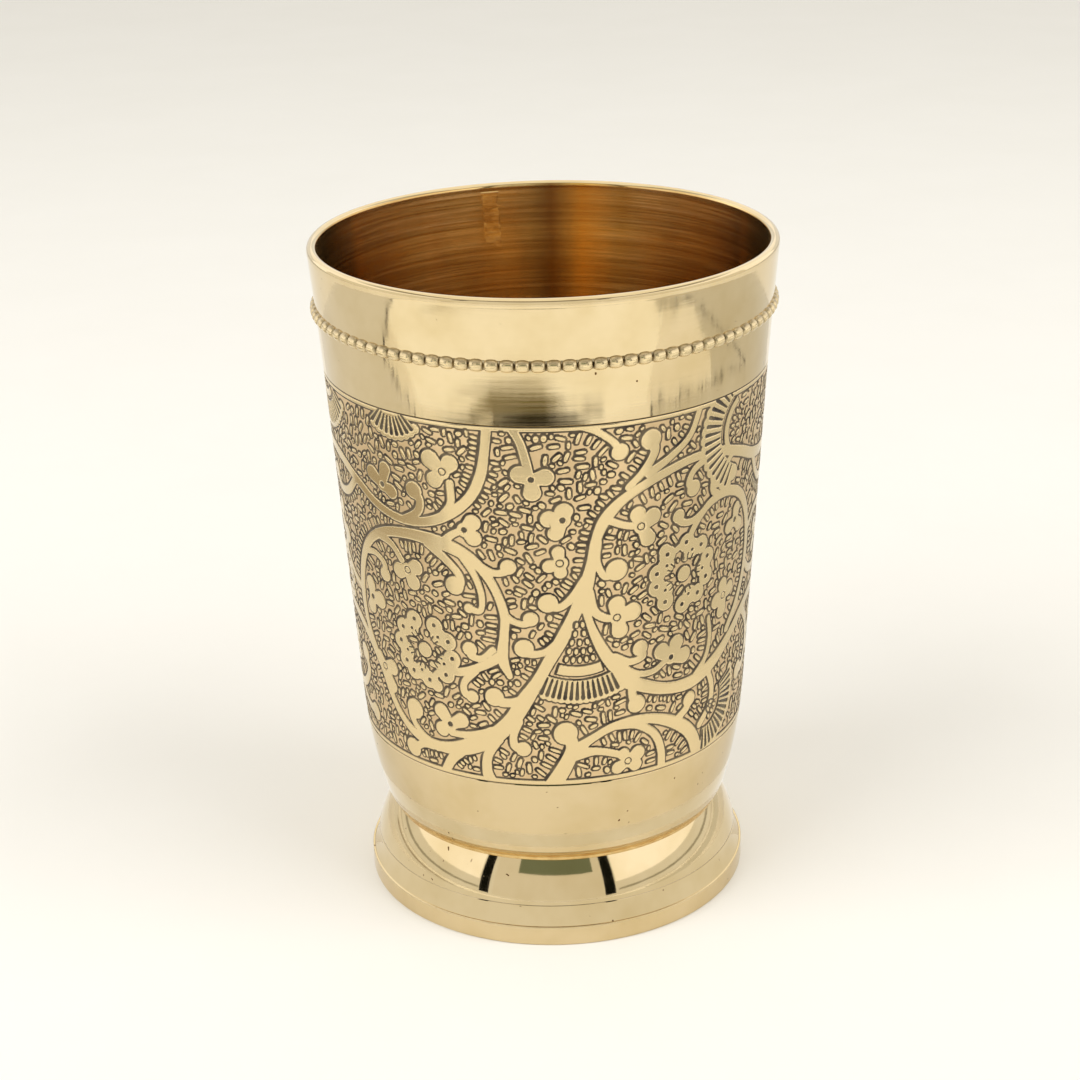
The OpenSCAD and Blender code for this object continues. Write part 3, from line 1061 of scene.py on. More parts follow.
    def rosette(self, rosette: Rosette) -> None:
        """Draw a large flower: three-lobed petals, each with pits and short rays.

        Args:
            rosette: the flower.
        """
        size = rosette.size
        spot = (rosette.x, rosette.z)
        self.disc(self.motif, spot, 1.45 * size)
        for lobe in rosette.lobes:
            for turn, reach, radius in ((-18, 6.1, 1.75), (18, 6.1, 1.75), (0, 5.0, 1.8)):
                self.disc(self.motif, on_ray(*spot, lobe + turn, reach * size), radius * size)
            for turn, reach, radius in ((-19, 6.2, 0.5), (19, 6.2, 0.5), (-1, 4.7, 0.4)):
                self.disc(self.cut, on_ray(*spot, lobe + turn, reach * size), radius * size)
            for turn in (-25, -9, 9, 25):
                start = on_ray(*spot, lobe + turn, 2.8 * size)
                self.stroke(self.cut, start, on_ray(*spot, lobe + turn, 4.0 * size), 0.2, 0.24)

    def sector(self, fan: Fan, inner: float, outer: float, half: float) -> None:
        """Draw the part of a ring that opens to both sides of a fan's direction.

        Args:
            fan: the fan, for its place and direction.
            inner: the ring's inner radius.
            outer: the ring's outer radius.
            half: half its opening in degrees.
        """

        def shape(u: np.ndarray, v: np.ndarray) -> np.ndarray:
            """Distance to the sector."""
            radius = np.hypot(u, v)
            off = np.abs((np.degrees(np.arctan2(v, u)) - fan.aim + 180) % 360 - 180)
            side = np.radians(np.clip(off - half, -40, 40)) * radius
            return np.maximum(np.maximum(inner - radius, radius - outer), side)

        self.stamp(self.motif, fan.x, fan.z, outer + 1.5, shape)

    def fan(self, fan: Fan) -> None:
        """Draw a fan: its crescent, its slotted and scalloped skirt, and its rows of dashes.

        Args:
            fan: the fan.
        """
        inner, outer = fan.skirt
        if fan.crescent:
            self.sector(fan, *fan.crescent, fan.spread * 0.72)
        self.sector(fan, inner, outer - 0.6, fan.spread)
        pitch = 2 * fan.spread / fan.slots
        scallop = math.radians(pitch) * outer * 0.62
        for i in range(fan.slots):
            turn = fan.aim - fan.spread + (i + 0.5) * pitch
            start = on_ray(fan.x, fan.z, turn, inner + 0.35)
            self.stroke(self.cut, start, on_ray(fan.x, fan.z, turn, outer - 0.9), 0.26, 0.46)
            self.disc(self.motif, on_ray(fan.x, fan.z, turn + pitch / 2, outer - 0.65), scallop)
        for radius in fan.rows:
            count = max(1, round(math.radians(2 * fan.spread) * radius * 0.62 / 1.3))
            for i in range(count):
                turn = fan.aim + fan.spread * 0.66 * (2 * (i + 0.5) / count - 1)
                self.add_mark(*on_ray(fan.x, fan.z, turn, radius), 0.62, 0.36, math.radians(turn))

    def draw(self) -> None:
        """Draw every motif, then the plain border along both turned lines."""
        for vine in VINES:
            self.vine(vine)
        for flower in FLOWERS:
            self.flower(flower)
        for rosette in ROSETTES:
            self.rosette(rosette)
        for fan in FANS:
            self.fan(fan)
        up = self.z[:, None]
        border = np.minimum(up - (self.low_z + self.border_low), (self.high_z - self.border_high) - up)
        self.motif = np.minimum(self.motif, border)

    def cell(self, x: float, z: float) -> tuple[int, int]:
        """Row and column at a place on the sheet, kept within it."""
        row = min(self.rows - 1, max(0, int((z - self.low_z) / self.dz)))
        return row, int((x - self.x[0]) / self.dx) % self.columns

    def add_mark(self, x: float, z: float, long_r: float, short_r: float, turn: float) -> None:
        """Keep one small raised mark and draw it on its layer."""
        along = (math.cos(turn) * (long_r - short_r), math.sin(turn) * (long_r - short_r))
        self.stroke(self.mark, (x - along[0], z - along[1]), (x + along[0], z + along[1]), short_r, short_r)
        self.marks.append((x, z, long_r, short_r, turn))

    def has_room(self, x: float, z: float, long_r: float, short_r: float, turn: float) -> bool:
        """True if a mark keeps clear of the motifs and of the other marks.

        Args:
            x: place of its middle along the sheet.
            z: height of its middle.
            long_r: half its length.
            short_r: half its width.
            turn: its direction in radians.

        Returns:
            Whether there is room.
        """
        for part in (-1, -0.5, 0, 0.5, 1):
            reach = (long_r - short_r) * part
            place = self.cell(x + math.cos(turn) * reach, z + math.sin(turn) * reach)
            if self.motif[place] < short_r + self.motif_gap:
                return False
            if self.mark[place] < short_r + self.mark_gap:
                return False
        return True

    def rib(self, vine: Vine, chance: np.random.Generator) -> None:
        """Lay a row of short bars along each side of a stem, square to it.

        Args:
            vine: the stem.
            chance: the source of random numbers.
        """
        curve = smooth_path(vine.path, 0.15)
        step = np.gradient(curve[:, :2], axis=0)
        travelled = np.cumsum(np.hypot(*step.T))
        for side in (-1, 1):
            long_r = chance.uniform(0.55, 1.15)
            for reach in np.arange(1.0, travelled[-1] - 0.8, self.bar_pitch):
                i = int(np.searchsorted(travelled, reach))
                turn = math.atan2(step[i, 1], step[i, 0]) + side * math.pi / 2
                size = long_r * chance.uniform(0.9, 1.25)
                x, z = on_ray(curve[i, 0], curve[i, 1], math.degrees(turn), curve[i, 2] / 2 + 0.5 + size)
                turn += chance.normal(0, 0.1)
                clear = self.low_z + self.margin_low < z < self.high_z - self.margin_high
                if clear and self.has_room(x, z, size, self.bar_r, turn):
                    self.add_mark(x, z, size, self.bar_r, turn)

    def fill_ground(self) -> None:
        """Fill the ground with rows of bars along the stems, then with scattered marks."""
        chance = np.random.default_rng(self.seed)
        for vine in VINES:
            self.rib(vine, chance)
        slope_z, slope_x = np.gradient(self.motif, self.dz, self.dx)
        lowest = (self.x[0], self.low_z + self.margin_low)
        highest = (self.x[0] + self.length, self.high_z - self.margin_high)
        for long_r, short_r, tries in self.scatter:
            places = chance.uniform(lowest, highest, (tries, 2))
            kinds = chance.random(tries)
            wobbles = chance.normal(0, 0.22, tries)
            sizes = chance.uniform(0.88, 1.12, tries)
            for (x, z), kind, wobble, size in zip(places, kinds, wobbles, sizes):
                here = self.cell(x, z)
                if self.motif[here] < short_r + self.motif_gap:
                    continue
                turn = math.atan2(slope_z[here], slope_x[here]) + wobble
                if kind > 0.72 or self.motif[here] < short_r + 0.7:
                    turn += math.pi / 2
                if self.has_room(x, z, long_r * size, short_r * size, turn):
                    self.add_mark(x, z, long_r * size, short_r * size, turn)


# ---- the cup's wall


@dataclass(frozen=True)
class Wall:
    """The cup's wall: a straight taper that flares at the mouth and tucks in at the heel."""

    top_z: float
    foot_z: float
    waist_r: float = 38.0
    waist_z: float = 42.0
    taper: float = 0.0625
    flare: float = 0.5
    flare_z: float = 105.0
    flare_power: float = 1.5
    heel_r: float = 34.6
    heel_rise: float = 3.9
    tuck_power: float = 2.3
    sheet_t: float = 1.6
    lip_t: float = 1.9
    lip_h: float = 8.0
    band_low: float = 34.4
    band_high: float = 106.6
    line_w: float = 0.4
    line_depth: float = 0.15
    unroll_r: float = 39.8

    @property
    def heel_z(self) -> float:
        """Height at which the wall starts to turn under."""
        return self.foot_z + self.heel_rise

    @property
    def tuck(self) -> float:
        """How far the heel lies inside the straight taper."""
        return self.waist_r - self.taper * (self.waist_z - self.heel_z) - self.heel_r

    def radius(self, z: float) -> float:
        """Outer radius at a height.

        Args:
            z: the height in millimetres.

        Returns:
            The radius in millimetres.
        """
        over = max(0.0, z - self.flare_z) / (self.top_z - self.flare_z)
        under = max(0.0, self.waist_z - z) / (self.waist_z - self.heel_z)
        straight = self.waist_r + self.taper * (z - self.waist_z)
        return straight + self.flare * over ** self.flare_power - self.tuck * under ** self.tuck_power

    def inner(self, z: float) -> float:
        """Inner radius at a height: the lip is thicker than the sheet."""
        share = min(1.0, max(0.0, (z - self.top_z + self.lip_h) / self.lip_h))
        return self.radius(z) - self.sheet_t - (self.lip_t - self.sheet_t) * share

    def sizes(self) -> dict[str, float]:
        """The wrapping tree's inputs."""
        return {"Waist radius": self.waist_r, "Waist height": self.waist_z, "Taper": self.taper,
                "Flare": self.flare, "Flare height": self.flare_z, "Flare power": self.flare_power,
                "Top height": self.top_z, "Tuck": self.tuck, "Heel height": self.heel_z,
                "Tuck power": self.tuck_power, "Unroll radius": self.unroll_r}


def wrap(tree: Tree, geometry: NodeSocket) -> NodeSocket:
    """Roll a flat sheet in millimetres on to the wall, in metres.

    X runs along the sheet, Z is the height, and Y is the depth below the wall's face.

    Args:
        tree: the tree, whose inputs include the wall's sizes.
        geometry: the flat sheet.

    Returns:
        The sheet on the wall.
    """
    size = tree.entry
    place = tree.node("GeometryNodeInputPosition").outputs["Position"]
    flat = tree.node("ShaderNodeSeparateXYZ", links={0: place}).outputs
    rise = tree.math("SUBTRACT", flat["Z"], size["Waist height"])
    straight = tree.math("ADD", size["Waist radius"], tree.math("MULTIPLY", rise, size["Taper"]))
    above = tree.math("SUBTRACT", flat["Z"], size["Flare height"])
    over = tree.math("DIVIDE", tree.math("MAXIMUM", above, 0.0),
                     tree.math("SUBTRACT", size["Top height"], size["Flare height"]))
    under = tree.math("DIVIDE", tree.math("MAXIMUM", tree.math("MULTIPLY", rise, -1.0), 0.0),
                      tree.math("SUBTRACT", size["Waist height"], size["Heel height"]))
    flare = tree.math("MULTIPLY", size["Flare"], tree.math("POWER", over, size["Flare power"]))
    tuck = tree.math("MULTIPLY", size["Tuck"], tree.math("POWER", under, size["Tuck power"]))
    face = tree.math("SUBTRACT", tree.math("ADD", straight, flare), tuck)
    radius = tree.math("MULTIPLY", tree.math("SUBTRACT", face, flat["Y"]), MM)
    turn = tree.math("DIVIDE", flat["X"], size["Unroll radius"])
    target = tree.around(radius, turn, tree.math("MULTIPLY", flat["Z"], MM))
    moved = tree.node("GeometryNodeSetPosition", links={"Geometry": geometry, "Position": target})
    return moved.outputs["Geometry"]


def wrapping_tree(wall: Wall, name: str, stamped: bool) -> NodeTree:
    """Tree that rolls a flat sheet, or a stamp repeated at every point, on to the wall.

    Args:
        wall: the wall, for the names of its sizes.
        name: the tree's name.
        stamped: True if the input's points each get a turned and stretched stamp.

    Returns:
        The geometry tree.
    """
    made = bpy.data.node_groups.get(name)
    if made:
        return made
    inputs = {label: "Float" for label in wall.sizes()} | {"Finish": "Material"}
    tree = Tree(name, inputs | ({"Stamp": "Object"} if stamped else {}))
    flat = tree.entry["Geometry"]
    if stamped:
        stamp = tree.node("GeometryNodeObjectInfo", links={"Object": tree.entry["Stamp"]})
        turn = tree.math("MULTIPLY", tree.named("turn"), -1.0)
        about = tree.node("ShaderNodeCombineXYZ", links={1: turn}).outputs["Vector"]
        points = tree.node("GeometryNodeMeshToPoints", links={"Mesh": flat}).outputs["Points"]
        repeated = tree.node("GeometryNodeInstanceOnPoints",
                             links={"Points": points, "Instance": stamp.outputs["Geometry"],
                                    "Rotation": about, "Scale": tree.named("stretch", "FLOAT_VECTOR")})
        flat = tree.node("GeometryNodeRealizeInstances",
                         links={"Geometry": repeated.outputs["Instances"]}).outputs["Geometry"]
    return tree.finish(wrap(tree, flat), (tree.entry["Finish"], None))


# ---- sub-assemblies


def dress_node(name: str, finish: Finish) -> Object:
    """Give a CAD node that stays in sight its finish, through its object's slots.

    Args:
        name: the node's name.
        finish: the finish.

    Returns:
        The node's object.
    """
    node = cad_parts[name]
    if not node.material_slots:
        node.data.materials.append(finish.material())
    for place in node.material_slots:
        place.material = finish.material()
    return node


def settle(piece: Object, slot: str, *nodes: str) -> Object:
    """Let a finished piece ride on the tumbler, and hide the nodes that it stands for.

    Args:
        piece: the piece.
        slot: not used.
        nodes: the CAD nodes that it replaces.

    Returns:
        The same piece.
    """
    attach(piece, "root")
    if nodes:
        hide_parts(*nodes)
    return piece


def box_mm(node: str) -> tuple[np.ndarray, np.ndarray]:
    """Lowest and highest corners of a CAD node, in millimetres."""
    low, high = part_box(node)
    return np.array(low) / MM, np.array(high) / MM


@dataclass
class Cup:
    """The rolled cup: its turned body, its engraved band, its seam and its bottom."""

    wall: Wall
    flange_r: float = 27.0
    corner_r: float = 3.2
    corner_inset: float = 3.45
    corner_end: float = -18.0
    lip_tilt: float = 12.0
    slab_depth: float = 0.6
    sectors: int = 8
    motif_depth: float = 0.17
    ground_depth: float = 0.11
    groove_w: float = 0.5
    moat_mid: float = 0.12
    # side on which the dark edges are drawn wider as painted shade; the outline and crescent widenings below
    # say how much
    shade_side: tuple[float, float] = (-0.85, 0.53)
    outline_w: float = 0.235
    outline_painted_shade: float = 0.07
    crescent_w: float = 0.21
    crescent_painted_shade: float = 0.1
    fade: float = 0.1
    seam_rows: int = 521
    seam_columns: int = 49
    seam_left: float = -2.9
    seam_right: float = 0.9
    seam_rise: float = 0.035
    seam_sunk: float = 0.1
    seam_slits: int = 34
    polished: Finish = TurnedBrass()
    scoured: Finish = ScouredBrass()
    etched: Finish = EtchedBrass()
    brazed: Finish = FiledBraze()

    def line(self, z: float, below: bool) -> list[tuple[float, float]]:
        """Half of a turned line, and the step down to the face under the engraved skin.

        Args:
            z: height of the line's middle.
            below: True for the half on the lower side.

        Returns:
            The points, upwards.
        """
        edge = z - self.wall.line_w / 2 if below else z + self.wall.line_w / 2
        half = [(self.wall.radius(edge), edge), (self.wall.radius(z) - self.wall.line_depth, z)]
        half.append((self.wall.radius(z) - self.slab_depth, z))
        return half if below else half[::-1]

    def body(self) -> Object:
        """The turned body: flange, heel, wall and lip, cut back where the engraved skin lies.

        Returns:
            The finished piece.
        """
        wall = self.wall
        under_z = wall.heel_z - self.corner_r - 0.4
        corner = (wall.heel_r - self.corner_inset, under_z + self.corner_r)
        lip_r = wall.lip_t / 2
        lip_z = wall.top_z - lip_r
        shape = Outline()
        shape.add([(self.flange_r, under_z)])
        shape.add(arc(*corner, self.corner_r, -90, self.corner_end))
        low_edge = wall.band_low - wall.line_w / 2
        high_edge = wall.band_high + wall.line_w / 2
        shape.add([(wall.radius(z), z) for z in between(wall.heel_z, low_edge, 0.8)[:-1]])
        for z, below in ((wall.band_low, True), (wall.band_high, False)):
            points = self.line(z, below)
            shape.add(points)
            shape.residue[-2] = 1.0
        shape.add([(wall.radius(z), z) for z in between(high_edge, lip_z, 0.8)[1:]])
        over = arc(wall.radius(lip_z) - lip_r, lip_z, lip_r, self.lip_tilt, 180 - self.lip_tilt, 20)
        shape.add(over[:17])
        shape.add(over[17:], inside=1.0)
        shape.add([(wall.inner(z), z) for z in between(lip_z, wall.heel_z, 1.0)], inside=1.0)
        shape.add(arc(*corner, self.corner_r - wall.sheet_t, self.corner_end, -90), inside=1.0)
        shape.add([(self.flange_r, under_z + wall.sheet_t)], inside=1.0)
        return settle(shape.turn("cup_body", self.polished, self.scoured, 360), "brass_polished", "cup_wall")

    def surface(self, pattern: Pattern) -> dict[str, np.ndarray]:
        """Work out the engraved surface of half the band.

        Vertices near an outline are moved on to it, so that every edge is crisp. The dark residue
        along each edge is drawn a little wider on one side, turned from the light, as painted
        shade; the shade-side direction picks that side.

        Args:
            pattern: the engraving's distances.

        Returns:
            Arrays named x, z, depth, etched and residue, one value for each grid vertex; the residue also
            holds the painted shade.
        """
        grown = {}
        shade_side = {}
        shift_x = np.zeros_like(pattern.motif)
        shift_z = np.zeros_like(pattern.motif)
        nearest = np.full_like(pattern.motif, 0.5 * pattern.row_step)
        groove = self.groove_w / 2
        for layer, levels in (("motif", (0.0, groove, 2 * groove)), ("cut", (0.0, -0.15)),
                              ("mark", (self.moat_mid,))):
            distance = getattr(pattern, layer)
            wide = np.concatenate([distance[:, -2:], distance, distance[:, :2]], axis=1)
            slope_z, slope_x = (side[:, 2:-2] for side in np.gradient(wide, pattern.dz, pattern.dx))
            steep = np.maximum(slope_x ** 2 + slope_z ** 2, 0.25)
            # how far each edge faces the shade side, which widens its dark band as painted shade
            shade_side[layer] = (self.shade_side[0] * slope_x + self.shade_side[1] * slope_z) / np.sqrt(steep)
            snapped = distance.copy()
            for level in levels:
                gap = level - distance
                close = np.abs(gap) < nearest
                nearest = np.where(close, np.abs(gap), nearest)
                shift_x = np.where(close, gap * slope_x / steep, shift_x)
                shift_z = np.where(close, gap * slope_z / steep, shift_z)
                snapped = np.where(close, level, snapped)
            grown[layer] = snapped
        for side in (0, -1):
            shift_x[side] = 0.0
            shift_z[side] = 0.0
        motif, cut, mark = grown["motif"], grown["cut"], grown["mark"]
        deep, ground = self.motif_depth, self.ground_depth
        depth = np.interp(motif, [0.0, groove, 2 * groove], [0.0, deep, ground])
        moat = np.abs(mark - self.moat_mid)
        depth = depth + 0.05 * np.clip(1 - moat / 0.2, 0, 1) * (motif > 2 * groove)
        depth = np.maximum(depth, np.interp(cut, [-0.15, 0.0], [deep, 0.0]))
        edge = np.minimum(pattern.z - pattern.low_z, pattern.high_z - pattern.z)[:, None]
        half_line = self.wall.line_w / 2
        line = np.clip(1 - edge / half_line, 0, 1) + np.zeros_like(depth)
        depth = np.maximum(depth, line * self.wall.line_depth)
        # dark outline round each motif: residue in the groove, wider on the shade side as painted shade
        rim_w = self.outline_w + self.outline_painted_shade * shade_side["motif"]
        outline = np.clip((rim_w - np.abs(motif - groove)) / self.fade, 0, 1)
        # dark ring round each mark: residue in the moat, wider on the shade side as painted shade
        rim_w = self.crescent_w + self.crescent_painted_shade * shade_side["mark"]
        crescent = np.clip((rim_w - moat) / self.fade, 0, 1)
        dark = np.maximum.reduce([outline, crescent, np.clip(-cut / self.fade, 0, 1), line])
        return {"x": pattern.x[None, :] + shift_x, "z": pattern.z[:, None] + shift_z, "depth": depth,
                "etched": np.clip((motif - 0.1) / 0.3, 0, 1), "residue": dark}

    def sector(self, number: int, pattern: Pattern, surface: dict[str, np.ndarray]) -> Object:
        """One eighth of the engraved skin, as a closed slab rolled on to the wall.

        Args:
            number: which eighth it is.
            pattern: the engraving's grid.
            surface: the engraved surface of half the band.

        Returns:
            The finished piece.
        """
        wide = 2 * pattern.columns // self.sectors
        first = number * wide
        columns = np.arange(first, first + wide + 1)
        inside = columns % pattern.columns
        laps = (columns // pattern.columns) * pattern.length
        x = surface["x"][:, inside] + laps
        z = surface["z"][:, inside]
        face = np.stack([x, surface["depth"][:, inside], z], axis=2).reshape(-1, 3)
        rows, across = x.shape
        count = rows * across
        back = [(x[row, column], self.slab_depth, z[row, column])
                for row in (0, -1) for column in range(across)]
        low_back = count + np.arange(across)
        high_back = low_back + across
        bottom = np.arange(across)
        top = bottom + (rows - 1) * across
        strips = [(low_back, bottom), (top, high_back), (high_back, low_back)]
        faces = [quads(rows, across)]
        for lower, upper in strips:
            faces.append(np.stack([lower[:-1], lower[1:], upper[1:], upper[:-1]], axis=1))
        left = np.arange(rows) * across
        right = left + across - 1
        faces.append(np.concatenate([left, [high_back[0], low_back[0]]])[None, :])
        faces.append(np.concatenate([right[::-1], [low_back[-1], high_back[-1]]])[None, :])
        values = {name: np.concatenate([surface[name][:, inside].ravel(), np.zeros(2 * across)])
                  for name in ("etched", "residue")}
        piece = new_object(f"engraved_skin_{number + 1}", np.vstack([face, back]), faces, values)
        grow(piece, wrapping_tree(self.wall, "roll_on_to_wall", False),
             self.wall.sizes() | {"Finish": self.etched.material()}, crease=80)
        return settle(piece, "brass_polished", "cup_wall")

    def stamp(self) -> Object:
        """The pattern piece of one raised mark: a low dome on a flat back, one millimetre in radius.

        Returns:
            The stamp, which is removed once it has been repeated.
        """
        rings = ((1.15, 0.16, 1.0), (0.98, 0.06, 0.8), (0.8, 0.02, 0.0))
        turns = (np.arange(8) + 0.5) * math.tau / 8
        square = (np.abs(np.cos(turns)) ** 3 + np.abs(np.sin(turns)) ** 3) ** (-1 / 3)
        points = [np.stack([r * square * np.cos(turns), np.full(8, d), r * square * np.sin(turns)], axis=1)
                  for r, d, _ in rings]
        dark = np.concatenate([np.full(8, value) for _, _, value in rings])
        faces = []
        for ring in range(2):
            low = ring * 8 + np.arange(8)
            high = low + 8
            faces.append(np.stack([low, np.roll(low, -1), np.roll(high, -1), high], axis=1))
        faces.append(16 + np.arange(8)[None, :])
        faces.append(np.arange(8)[::-1][None, :])
        return new_object("mark_stamp", np.vstack(points), faces, {"residue": dark, "etched": dark * 0.6})

    def marks(self, pattern: Pattern) -> Object:
        """All the raised marks on the ground, as one piece.

        Args:
            pattern: the engraving, which lists the marks.

        Returns:
            The finished piece.
        """
        rows = [(x + lap * pattern.length, z, a, b, turn)
                for lap in (0, 1) for x, z, a, b, turn in pattern.marks]
        table = np.array(rows)
        places = np.stack([table[:, 0], np.zeros(len(table)), table[:, 1]], axis=1)
        stretch = np.stack([table[:, 2], np.ones(len(table)), table[:, 3]], axis=1)
        stamp = self.stamp()
        piece = new_object("engraved_marks", places, values={"turn": table[:, 4], "stretch": stretch})
        grow(piece, wrapping_tree(self.wall, "stamp_on_to_wall", True),
             self.wall.sizes() | {"Finish": self.etched.material(), "Stamp": stamp}, crease=80)
        bpy.data.objects.remove(stamp)
        return settle(piece, "brass_polished", "cup_wall")

    def seam(self) -> Object:
        """The lap seam's brazing metal, filed back to a ragged strip a little proud of the wall.

        Returns:
            The finished piece.
        """
        low, high = box_mm("seam_braze")
        middle = math.degrees(math.atan2((low[1] + high[1]) / 2, (low[0] + high[0]) / 2))
        columns, rows = self.seam_columns, self.seam_rows
        chance = np.random.default_rng(11)
        z = np.linspace(low[2], high[2], rows)
        across = np.linspace(-3.4, 3.2, columns)

        def ragged(size: float, spacing: float) -> np.ndarray:
            """A wandering offset along the strip."""
            knots = np.arange(low[2] - spacing, high[2] + 2 * spacing, spacing)
            return np.interp(z, knots, chance.normal(0, size, len(knots)))

        drift = np.interp(z, [low[2], high[2] - 17, high[2]], [1.0, 0.8, 0.1])
        right = self.seam_right + drift + ragged(0.16, 1.6) + ragged(0.12, 0.45)
        left = self.seam_left + drift + ragged(0.12, 2.4) + ragged(0.08, 0.5)
        s = across[None, :] + np.zeros((rows, 1))
        to_edge = np.minimum(s - left[:, None], right[:, None] - s)
        height = np.interp(to_edge, [-0.25, 0.0, 0.5], [-0.12, 0.0, self.seam_rise])
        lumps = chance.normal(0, 1, (rows // 14 + 2, columns // 12 + 2))
        height += 0.006 * resample(lumps, rows, columns) * (to_edge > 0)
        proud = np.interp(z, [high[2] - 19, high[2] - 7], [0.0, 1.0])[:, None]
        height -= self.seam_sunk * (1 - proud)
        crack = np.clip(1 - np.abs(right[:, None] - 0.2 - s) / 0.18, 0, 1)
        height -= 0.04 * crack
        dark = crack * 0.8
        for _ in range(self.seam_slits):
            row = chance.integers(rows)
            start = right[row] - 0.3 - chance.uniform(0, 0.6)
            reach = chance.uniform(0.5, 1.8)
            lean = chance.normal(0, 0.35)
            line = np.abs(z[:, None] - z[row] - lean * (start - s))
            slit = np.clip(1 - line / 0.16, 0, 1) * ((s < start) & (s > start - reach))
            height -= 0.02 * slit
            dark = np.maximum(dark, slit * 0.4)
        inner = np.array([self.wall.inner(value) for value in z])[:, None]
        turn = math.radians(middle) - s / inner
        face, back = (np.stack([away * np.cos(turn), away * np.sin(turn), z[:, None] + 0 * s],
                               axis=2).reshape(-1, 3) for away in (inner - height, inner + 0.3))
        count = rows * columns
        front_faces = quads(rows, columns)
        rim = np.concatenate([np.arange(columns), np.arange(1, rows) * columns + columns - 1,
                              (rows - 1) * columns + np.arange(columns - 2, -1, -1),
                              np.arange(rows - 2, 0, -1) * columns])
        sides = np.stack([rim, rim + count, np.roll(rim + count, -1), np.roll(rim, -1)], axis=1)
        piece = new_object("seam_strip", np.vstack([face, back]) * MM,
                           [front_faces, front_faces[:, ::-1] + count, sides],
                           {"residue": np.concatenate([dark.ravel(), np.zeros(count)])})
        piece.data.materials.append(self.brazed.material())
        piece.data.shade_smooth()
        return settle(piece, "brazing_metal", "seam_braze")

    def bottom(self) -> Object:
        """The bottom disc: slightly dished, with the dimple of the lathe's centre.

        Returns:
            The finished piece.
        """
        low, high = box_mm("cup_bottom")
        radius = high[0]
        dish = [(radius * share, high[2] - 0.35 * (1 - share ** 2)) for share in between(0.93, 0.05, 0.03)]
        shape = Outline()
        shape.add([(0.0, low[2]), (radius - 0.2, low[2]), (radius, low[2] + 0.2), (radius, high[2])])
        shape.add(dish, inside=1.0)
        shape.add([(0.6, high[2] - 0.36), (0.0, high[2] - 0.7)], inside=1.0)
        disc = shape.turn("bottom_disc", self.scoured, self.scoured, 160)
        return settle(disc, "brass_sheet", "cup_bottom")

    def build(self) -> Iterator[Object]:
        """Build the cup's pieces one by one."""
        wall = self.wall
        yield self.body()
        pattern = Pattern(wall.band_low, wall.band_high, math.pi * wall.unroll_r)
        surface = self.surface(pattern)
        for number in range(self.sectors):
            yield self.sector(number, pattern, surface)
        yield self.marks(pattern)
        yield self.seam()
        yield self.bottom()
        yield dress_node("bottom_braze", self.brazed)


def resample(coarse: np.ndarray, rows: int, columns: int) -> np.ndarray:
    """Stretch a coarse grid of values smoothly over a finer one.

    Args:
        coarse: the values.
        rows: rows wanted.
        columns: columns wanted.

    Returns:
        The finer grid.
    """
    up = np.linspace(0, coarse.shape[0] - 1.001, rows)
    along = np.linspace(0, coarse.shape[1] - 1.001, columns)
    i = up.astype(int)[:, None]
    j = along.astype(int)[None, :]
    u = up[:, None] - i
    v = along[None, :] - j
    u = u * u * (3 - 2 * u)
    v = v * v * (3 - 2 * v)
    low = coarse[i, j] * (1 - v) + coarse[i, j + 1] * v
    high = coarse[i + 1, j] * (1 - v) + coarse[i + 1, j + 1] * v
    return low * (1 - u) + high * u


